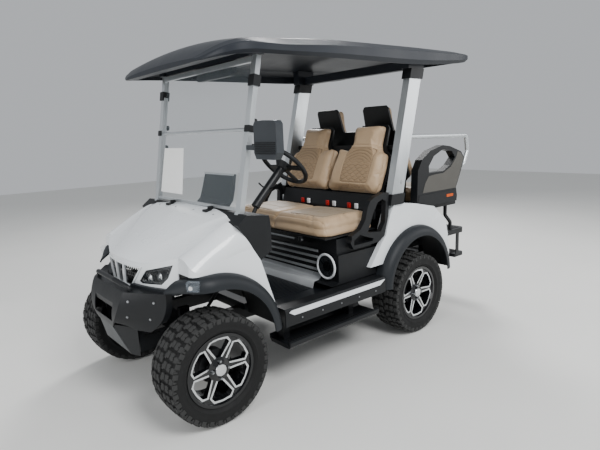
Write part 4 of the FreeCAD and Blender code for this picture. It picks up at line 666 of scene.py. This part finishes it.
def seat_relief(p, n):
    """The front seat's top: two crowned places with an inset panel each, and a welt round the top."""
    if n.z < 0.1:
        return groove(p.z - FRONT_SOLE - 50, 3, 2.4) if n.z > -0.5 else 0
    middle, along, half_x, half_y, corner = FRONT_INSET
    x, y = abs(p.x) - middle, p.y - along
    lines = groove(frame_line(x, y, half_x, half_y, corner), 4, 4.5) + groove(p.y + 288, 4, 3.5)
    lines += groove(p.x, 14, 12)
    if inside(x, y, half_x, half_y):
        lines += groove(y + 60, 4, 3.4) + groove(y - 55, 4, 3.4)
    return (crowned(x, y, 15, 290, 300) + lines) * min(1.0, n.z * 1.4)


def rear_seat_relief(p, n):
    """The rear seat's top: as the front one's, with plain inset panels."""
    if n.z < 0.1:
        return groove(p.z - REAR_SOLE - 43, 3, 2.4) if n.z > -0.5 else 0
    middle, along, half_x, half_y, corner = REAR_INSET
    x, y = abs(p.x) - middle, p.y - along
    lines = groove(frame_line(x, y, half_x, half_y, corner), 4, 4) + groove(p.x, 12, 9)
    return (crowned(x, y, 10, 240, 260) + lines) * min(1.0, n.z * 1.4)


def wave_row(number, x):
    """How high a row of wave stitching runs above the panel's foot; every other row is mirrored."""
    return ROW * number + WAVE * math.sin(x / WAVE_LENGTH + math.pi * (number % 2))


def quilting(x, z, middle, low, high):
    """Wave stitching below, arches above."""
    if z > low + (high - low) * ARCHED:
        reach = math.hypot(x - middle, z - low - (high - low) * ARCH_FOOT)
        return groove((reach % ARCH) - ARCH / 2, 3, 3.8)
    row = (z - low) / ROW
    lines = 0
    for step in (-1, 0, 1, 2):
        number = math.floor(row) + step
        lines = min(lines, groove(z - low - wave_row(number, x - middle), 3, 3.8))
    return lines


def back_relief(middle, half, low, high, head, facing):
    """A backrest: a framed quilted panel, a seam under the headrest and a welt round the side."""
    def relief(p, n):
        """The shift at one point, outwards, in mm."""
        if n.y * facing < 0.2:
            return groove(abs(p.y) - 40, 3, 2.2) if n.y * facing > -0.5 else 0
        x, z = p.x - middle, p.z - (low + high) / 2
        lines = groove(frame_line(x, z, half, (high - low) / 2, 26), 3.6, 4.2)
        if inside(x, z, half - 5, (high - low) / 2 - 5):
            lines += quilting(p.x, p.z, middle, low, high)
        lines += groove(p.z - head, 4, 4.5) * (1 if abs(x) < 136 else 0)
        belly = 9 * max(0.0, math.cos((p.z - 90) / 180 * math.pi / 2)) if p.z < 270 else 0
        return lines + belly
    return relief


def back_zones(middle, half, low, high, facing):
    """Which cover a backrest's face has: 1 on the quilted panel, 0 elsewhere."""
    def zones(p, n):
        """The cover at one point."""
        quilted = inside(p.x - middle, p.z - (low + high) / 2, half, (high - low) / 2)
        return 1 if n.y * facing > 0.2 and quilted else 0
    return zones


def seat_zones(middle, along, half_x, half_y, _corner):
    """Which cover a seat's face has: 1 on an inset panel, 0 elsewhere."""
    return lambda p, n: 1 if n.z > 0.4 and inside(abs(p.x) - middle, p.y - along, half_x, half_y) else 0


# The inset panels take the vinyl darkened with painted shade
sculpt(front_cushion, seat_relief, seat_zones(*FRONT_INSET), (tan_vinyl, inset_vinyl))
sculpt(rear_cushion, rear_seat_relief, seat_zones(*REAR_INSET), (tan_vinyl, inset_vinyl))
sculpt(front_back, back_relief(*FRONT_QUILT, FRONT_HEAD, -1), back_zones(*FRONT_QUILT, -1),
       (tan_vinyl, quilt_vinyl))
sculpt(rear_back, back_relief(*REAR_QUILT, REAR_HEAD, 1), back_zones(*REAR_QUILT, 1),
       (tan_vinyl, quilt_vinyl))


def lean(angle, y, z):
    """A backrest's place: turned about a line across the cart at y, z."""
    return Matrix.Translation(Vector((0, y, z)) * MM) @ Matrix.Rotation(math.radians(angle), 4, "X")


FRONT_LEAN, REAR_LEAN = lean(-21, 186, 1045), lean(17.5, 733, 1112)
for pad, place, node in ((front_back, FRONT_LEAN, "front_backrests"), (rear_back, REAR_LEAN, "rear_backrests")):
    pad.data.transform(place)
    other = bpy.data.objects.new(pad.name.replace("left", "right"), pad.data.copy())
    scene.collection.objects.link(other)
    other.data.transform(Matrix.Diagonal((-1, 1, 1, 1)))
    other.data.flip_normals()
    for each in (pad, other):
        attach(each, "chassis")
        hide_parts(node)
for pad, body in ((front_cushion, "front_cushion"), (rear_cushion, "rear_cushion")):
    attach(pad, body + "_body")
    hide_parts(body)

# Sewn lines


def tree_of(thing):
    """A CAD or scene piece's surface, in world mm."""
    points = [thing.matrix_world @ vert.co / MM for vert in thing.data.vertices]
    return BVHTree.FromPolygons(points, [face.vertices[:] for face in thing.data.polygons])


def laid(tree, points, toward, lift=0.0):
    """Points in mm dropped along a direction onto a surface; those that miss are left out."""
    found = [tree.ray_cast(Vector(point), Vector(toward).normalized()) for point in points]
    return [hit + normal * lift for hit, normal, _, _ in found if hit]


def between(a, b, count):
    """Points from a up to b, without b."""
    return [(a[0] + (b[0] - a[0]) * k / count, a[1] + (b[1] - a[1]) * k / count) for k in range(count)]


def loop_of(half_x, half_y, corner, step=11):
    """A rounded rectangle as points."""
    points = []
    for turn, (sx, sy) in enumerate(((1, 1), (-1, 1), (-1, -1), (1, -1))):
        for part in range(5):
            angle = math.radians(90 * turn + 22.5 * part)
            points.append((sx * (half_x - corner) + corner * math.cos(angle),
                           sy * (half_y - corner) + corner * math.sin(angle)))
    full = []
    for a, b in zip(points, points[1:] + points[:1]):
        count = max(1, round(math.dist(a, b) / step))
        full += between(a, b, count)
    return full


def waves(middle, half, low, high):
    """The quilting's threads: waves in the lower part, arches above."""
    lines = []
    for number in range(1, int((high - low) * ARCHED / ROW)):
        lines.append([(middle + x, low + wave_row(number, x)) for x in range(-int(half), int(half), 5)])
    foot, lowest = low + (high - low) * ARCH_FOOT, low + (high - low) * (ARCHED + 0.01)
    for number in range(20):
        reach = ARCH / 2 + ARCH * number
        arc = [(middle + reach * math.sin(a / 40), foot + reach * math.cos(a / 40)) for a in range(-63, 64, 2)]
        arc = [(x, z) for x, z in arc if abs(x - middle) < half and lowest < z < high - 5]
        if len(arc) > 4 and arc[len(arc) // 2][1] > foot + reach * 0.98:
            lines.append(arc)
    return lines


CORD_R, THREAD_R, LIFT = 1.4, 1.1, 0.1  # thread twice life size, so that the sewing shows from 4 m
for pad, body, (middle, along, half_x, half_y, corner) in (
        (front_cushion, "front_cushion_body", FRONT_INSET), (rear_cushion, "rear_cushion_body", REAR_INSET)):
    tree = tree_of(pad)
    lines = bmesh.new()
    for centre in (-middle, middle):
        path = [(centre + x, along + y, 1200) for x, y in loop_of(half_x, half_y, corner)]
        wire(lines, laid(tree, path, (0, 0, -1), LIFT), CORD_R, 1, True)
    piece(pad.name.replace("_pad", "") + "_stitches", lines, thread, body)
for pad, (middle, half, low, high), facing, place in (
        (front_back, FRONT_QUILT, -1, FRONT_LEAN), (rear_back, REAR_QUILT, 1, REAR_LEAN)):
    tree = tree_of(pad)
    lines = bmesh.new()
    toward = place.to_3x3() @ Vector((0, -facing, 0))
    path = [(middle + x, (low + high) / 2 + z) for x, z in loop_of(half, (high - low) / 2, 26)]
    for number, sewn in enumerate([path, *waves(middle, half - 6, low, high)]):
        starts = [place @ (Vector((x, facing * 200, z)) * MM) / MM for x, z in sewn]
        wire(lines, laid(tree, starts, toward, LIFT), THREAD_R if number else CORD_R, 1, not number)
    both(lines)
    piece(pad.name + "_stitches", lines, thread, "chassis")

# Cushion boards and hinges

BOARDS = [
    # cushion, board's extent, hinge leaf's outline seen from the side, hinge pin's y and z
    ("front_cushion", ((-524, 524), (-326, 150), (807.5, 817)),
     [(-345, 777), (-318, 775), (-300, 806), (-300, 808), (-342, 808)], (-330, 785)),
    ("rear_cushion", ((-440, 440), (734, 1180), (902.5, 911)),
     [(1180, 877), (1203, 877), (1203, 896), (1190, 903), (1150, 903)], (1195, 884)),
]
for name, extent, leaf, pin in BOARDS:
    shape = bmesh.new()
    block(shape, *extent, 3)
    for x in (-312, 288):
        plate(shape, "X", leaf, x, x + 24, 1.5)
    piece(f"{name}_board", shape, powder_black, f"{name}_body", [name])
    shape = bmesh.new()
    turned(shape, [(-318, 0), (-318, 6), (-316, 7.5), (316, 7.5), (318, 6), (318, 0)], (0, *pin), (1, 0, 0), 20,
           False)
    piece(f"{name}_pin", shape, steel, f"{name}_body", [name])

# Seat base: speakers, kick plate, belt buckles

SPEAKER, GUARD_WIRES = (455, -256, 618), 12  # the left speaker's middle; wires across its guard
rings, cones, spokes = bmesh.new(), bmesh.new(), bmesh.new()
turned(rings, [(-1, 71), (-1, 86), (4, 85), (7, 81), (7, 76), (3, 71)], SPEAKER, (0, -1, 0), 64)
turned(cones, [(-2.5, 71), (-5, 71), (-11, 33), (-9.5, 32)], SPEAKER, (0, -1, 0), 48)
for ring in (36, 48, 60):
    turned(spokes, [(1.2, ring - 1), (1.2, ring + 1), (3, ring + 1), (3, ring - 1)], SPEAKER, (0, -1, 0), 40)
for turn in range(GUARD_WIRES):
    x, z = math.cos(math.tau * turn / GUARD_WIRES), math.sin(math.tau * turn / GUARD_WIRES)
    wire(spokes, [(SPEAKER[0] + x * r, SPEAKER[1] - 2, SPEAKER[2] + z * r) for r in (28, 50, 72)], 1.3, 1)
for shape, name, look in ((rings, "speaker_rings", white_plastic), (cones, "speaker_cones", grey_plastic),
                          (spokes, "speaker_guards", gloss_black)):
    both(shape)
    piece(name, shape, look)
shape = bmesh.new()
plate(shape, "X", [
    (-320, 471), (-304, 515), (-263, 518.5), (-244.5, 530), (-244.5, 556), (-241, 556), (-241, 528.5),
    (-262, 516), (-301.5, 512), (-316, 471)], -388, 388, 0.8, 1)
piece("kick_plate", shape, silver)
webs = bmesh.new()
for name, places, look in (("buckles", (-250, 30, 250), red_plastic),
                           ("latch_tongues", (-180, 100, 320), white_plastic)):
    shape = bmesh.new()
    for x in places:
        block(shape, (x, x + 30), (161, 174), (930, 968), 4, 3)
        block(webs, (x + 6, x + 24), (165, 171), (905, 931), 1.5, 1)
    piece(name, shape, look)
piece("belt_webs", webs, powder_black)

# Floor, sills and steps

shape = bmesh.new()
for x in range(-368, 369, 23):
    block(shape, (x, x + 9), (-715, -335), (470, 473.5))
piece("floor_ribs", shape, mat_rubber)
shape = bmesh.new()
for y in range(-690, 0, 22):
    block(shape, (572, 634), (y, y + 7), (283.8, 287))
both(shape)
piece("step_treads", shape, rubber)
shape = bmesh.new()
studs(shape, [(650, y, 436) for y in (-640, -480, -320, -160, 0)], (1, 0, 0), 6, 3.2, 6)
both(shape)
piece("sill_bolts", shape, steel)
shape = bmesh.new()
for x in range(-420, 413, 26):
    block(shape, (x, x + 9), (1046, 1372), (625, 628))
for y in range(1372, 1490, 20):
    block(shape, (-360, 360), (y, y + 7), (384.8, 387.5))
piece("footplate_treads", shape, rubber)

# Pedals

TOE_SLOPE, PAD_SLOPE, PAD_RIBS = 0.293, 0.3, 5  # slopes: mm along for each mm up
shape, pads = bmesh.new(), bmesh.new()
for x, low, high, wide in ((150, 545, 655, 56), (245, 600, 662, 84)):
    toe = -796 - (high - 510) * TOE_SLOPE
    foot = toe + (high - low) * PAD_SLOPE
    plate(shape, "X", [(toe - 1, high - 8), (toe + 40, high - 46), (toe + 40, high - 34), (toe - 1, high + 8)],
          x + wide / 2 - 9, x + wide / 2 + 9, 2)
    plate(pads, "X", [(foot + 44, low), (foot + 50, low + 3), (toe + 46, high), (toe + 40, high - 3)],
          x, x + wide, 1.5)
    for k in range(PAD_RIBS):
        z = low + 10 + (high - low - 20) * k / (PAD_RIBS - 1)
        y = toe + 49 + (high - z) * PAD_SLOPE
        block(pads, (x + 6, x + wide - 6), (y - 3, y + 1.5), (z - 3, z + 3))
piece("pedal_arms", shape, powder_black)
piece("pedal_pads", pads, rubber)

# Lamps

lens_tree = tree_of(frame["nodes"]["lamp_lenses"])
LENS = [(258, 790), (428, 834), (396, 762), (354, 723), (222, 714), (199, 723)]  # seen from the front
LENS_X, LENS_Z = 311, 757
PROJECTORS = ((272, -1347, 750), (336, -1322, 764))
shape, glasses, bezels = bmesh.new(), bmesh.new(), bmesh.new()
for share, radius in ((0.86, 3.0), (0.72, 1.8)):
    path = []
    for a, b in zip(LENS, LENS[1:] + LENS[:1]):
        path += between(a, b, 6)
    path = [(LENS_X + (x - LENS_X) * share, -1600, LENS_Z + (z - LENS_Z) * share) for x, z in path]
    sunk = Vector((0, 7 / share, 0))
    wire(shape, [point + sunk for point in laid(lens_tree, path, (0, 1, 0))], radius, 2, True)
for x, y, z in PROJECTORS:
    turned(glasses, [(0.5, 0), (0.5, 19), (4, 18.5), (9, 13), (11.5, 7), (12.3, 0)], (x, y, z), (0, -1, 0), 32,
           False)
    turned(bezels, [(-1, 19.5), (-1, 23.5), (5, 23.5), (7, 21.5), (5, 19.5)], (x, y, z), (0, -1, 0), 32)
for bm, name, look in ((shape, "lamp_frames", machined), (glasses, "projector_lenses", mirror_glass),
                       (bezels, "projector_bezels", machined)):
    both(bm)
    piece(name, bm, look)
shape = bmesh.new()
plate(shape, "X", [(936.5, 661.5), (948, 665), (917.7, 763.5), (906.2, 760)], 520, 582, 3)
both(shape)
piece("tail_lamps", shape, red_plastic)

# Cowl top and windscreen

cowl_tree = tree_of(frame["nodes"]["front_cowl"])
shape, bolts = bmesh.new(), bmesh.new()
for x in (-230, 230):
    seat = laid(cowl_tree, [(x, -965, 1300)], (0, 0, -1))[0]
    block(shape, (x - 24, x + 24), (-984, -944), (seat.z - 8, seat.z + 9), 4)
    block(shape, (x - 9, x + 9), (-958, -926), (seat.z + 6, seat.z + 26), 3)
for x in (-330, -110, 110, 330):
    spot = laid(cowl_tree, [(x, -985, 1300)], (0, 0, -1))[0]
    studs(bolts, [spot - Vector((0, 0, 0.5))], (0, -0.26, 0.96), 6, 3.5)
piece("glass_latches", shape, trim_black)
piece("cowl_bolts", bolts, steel)


POST_FOOT, POST_RUN = Vector((491, -919, 1049)), Vector((28, 142, 817))  # of the left post's middle line
PAPER_GAP = 4  # how far the paper sits before the posts' middle plane


def on_post(height):
    """A point on the left windscreen post's middle line."""
    return POST_FOOT + POST_RUN * ((height - POST_FOOT.z) / POST_RUN.z)


shape = bmesh.new()
for height in (1406, 1536):
    turned(shape, [(14, 0), (14, 8), (24, 8), (24, 15), (27, 17), (38, 17), (40, 15), (40, 0)], on_post(height),
           (0, 1, -0.17), 24, False)
both(shape)
piece("post_knobs", shape, trim_black)
shape = bmesh.new()
plate(shape, "Y", [(-448, 1112), (-150, 1112), (-180, 1398), (-444, 1398)], -3, -2, 0)
for vert in shape.verts:
    vert.co.y += (on_post(vert.co.z / MM).y - PAPER_GAP) * MM
piece("windscreen_paper", shape, paper_white)
shape = bmesh.new()
for z in range(1366, 1421, 9):
    block(shape, (592, 760), (-875, -868), (z, z + 4.5), 1, 1)
piece("mirror_ribs", shape, trim_black)
shape = bmesh.new()
plate(shape, "Y", [
    (600, 1362), (752, 1362), (760, 1370), (760, 1520), (752, 1530), (600, 1530), (592, 1520),
    (592, 1370)], -825, -821.5, 1, 1)
plate(shape, "Y", [(-150, 1800), (150, 1800), (150, 1838), (-150, 1838)], -723, -720.5, 1, 1)
piece("mirror_glasses", shape, mirror_glass)

# Display and column

shape = bmesh.new()
plate(shape, "X", [(-746.8, 1158), (-743.8, 1157.5), (-733.2, 1227.5), (-736.2, 1228)], -112, 182, 0.8, 1)
piece("display_screen", shape, dark_screen)
shape = bmesh.new()
plate(shape, "X", [
    (-757, 1230), (-757, 1243), (-731, 1240), (-731, 1228), (-735, 1228), (-735, 1236), (-752, 1240),
    (-754, 1230)], -133, 203, 0.8, 1)
piece("display_rim", shape, silver)
wheel_tree = tree_of(frame["nodes"]["steering_wheel"])
axis = Vector((0, 0.7071, 0.7071))  # the column leans 45 degrees
centre = Vector((270, -425, 1273))
hub = laid(wheel_tree, [centre + axis * 200 + Vector((8, 0, 0))], -axis)
top = (hub[0] - centre).dot(axis)
shape = bmesh.new()
turned(shape, [(top - 1, 0), (top - 1, 40), (top + 5, 39), (top + 9, 33), (top + 10, 0)], centre, axis, 40,
       False)
piece("horn_pad", shape, gloss_black, "steering_body")
shape = bmesh.new()
turned(shape, [(top + 9.5, 0), (top + 9.5, 17), (top + 11, 16.5), (top + 11.6, 0)], centre, axis, 32, False)
piece("horn_badge", shape, machined, "steering_body")
shape = bmesh.new()
wire(shape, [(290, -560, 1140), (330, -560, 1150), (372, -552, 1172), (392, -548, 1180)], 5, 2)
wire(shape, [(250, -560, 1140), (214, -560, 1150), (180, -556, 1168)], 5, 2)
piece("column_stalks", shape, trim_black)

# Bumper

shape = bmesh.new()
front_face = shape.faces.new([shape.verts.new(Vector(p) * MM) for p in (
    (-92, -1511.5, 484), (92, -1511.5, 484), (170, -1457, 334), (-170, -1457, 334))])
grown = bmesh.ops.extrude_face_region(shape, geom=[front_face], use_keep_orig=True)["geom"]
backs = [part for part in grown if isinstance(part, bmesh.types.BMVert)]
bmesh.ops.translate(shape, verts=backs, vec=(0, 0.0035, 0.0012))
bmesh.ops.recalc_face_normals(shape, faces=shape.faces)
# The skid's face takes the grey that paints the kerb's reflection
piece("skid_face", shape, skid_painted_reflection)
guard_tree = tree_of(frame["nodes"]["bumper_guard"])
shape = bmesh.new()
for x, z in ((250, 645), (238, 560), (370, 645), (345, 555)):
    found = guard_tree.ray_cast(Vector((x, -1700, z)), Vector((0, 1, 0)))
    studs(shape, [found[0] - found[1] * 0.4], found[1], 8, 4)
both(shape)
piece("guard_bolts", shape, steel)

# Arms, pillars and springs

ARM_SIDE = 559.6  # a little inside the rear arm's outer face
shape = bmesh.new()
plate(shape, "X", [
    (640, 1005), (668, 1075), (712, 1124), (800, 1132), (899, 1134), (1003, 1176), (1074, 1240), (1098, 1290),
    (1143, 1276), (1182, 1236), (1144, 1140), (1081, 1012), (1083, 1005)], ARM_SIDE, 562, 0.6, 1)
both(shape)
piece("rear_arm_panels", shape, arm_grey)
shape = bmesh.new()
plate(shape, "X", [(580, 942), (744, 906), (1096, 908), (1099, 942), (1084, 992), (596, 992)],
      ARM_SIDE, 563, 1, 1)
both(shape)
piece("rear_arm_bands", shape, trim_black)
shape = bmesh.new()
block(shape, (562, 565.5), (950, 1040), (945, 966), 1.2, 1)
both(shape)
piece("side_reflectors", shape, amber_plastic)
shape = bmesh.new()
turned(shape, [(-0.5, 0), (-0.5, 15), (1.5, 14.5), (2, 0)], (592, 339.5, 1116), (1, 0, 0), 32, False)
both(shape)
piece("pillar_badges", shape, machined)
STRUT_X, COIL_R, COIL_FOOT, COIL_WIRE = 345, 33, 318, 5.5
TURNS, STEPS, STEP_RISE = 7, 10, 2.15
shape = bmesh.new()
coil = []
for step in range(TURNS * STEPS + 1):
    angle = math.tau * step / STEPS
    x, y = STRUT_X + COIL_R * math.cos(angle), FRONT_Y + COIL_R * math.sin(angle)
    coil.append((x, y, COIL_FOOT + step * STEP_RISE))
wire(shape, coil, COIL_WIRE, 1)
both(shape)
piece("coil_springs", shape, steel)
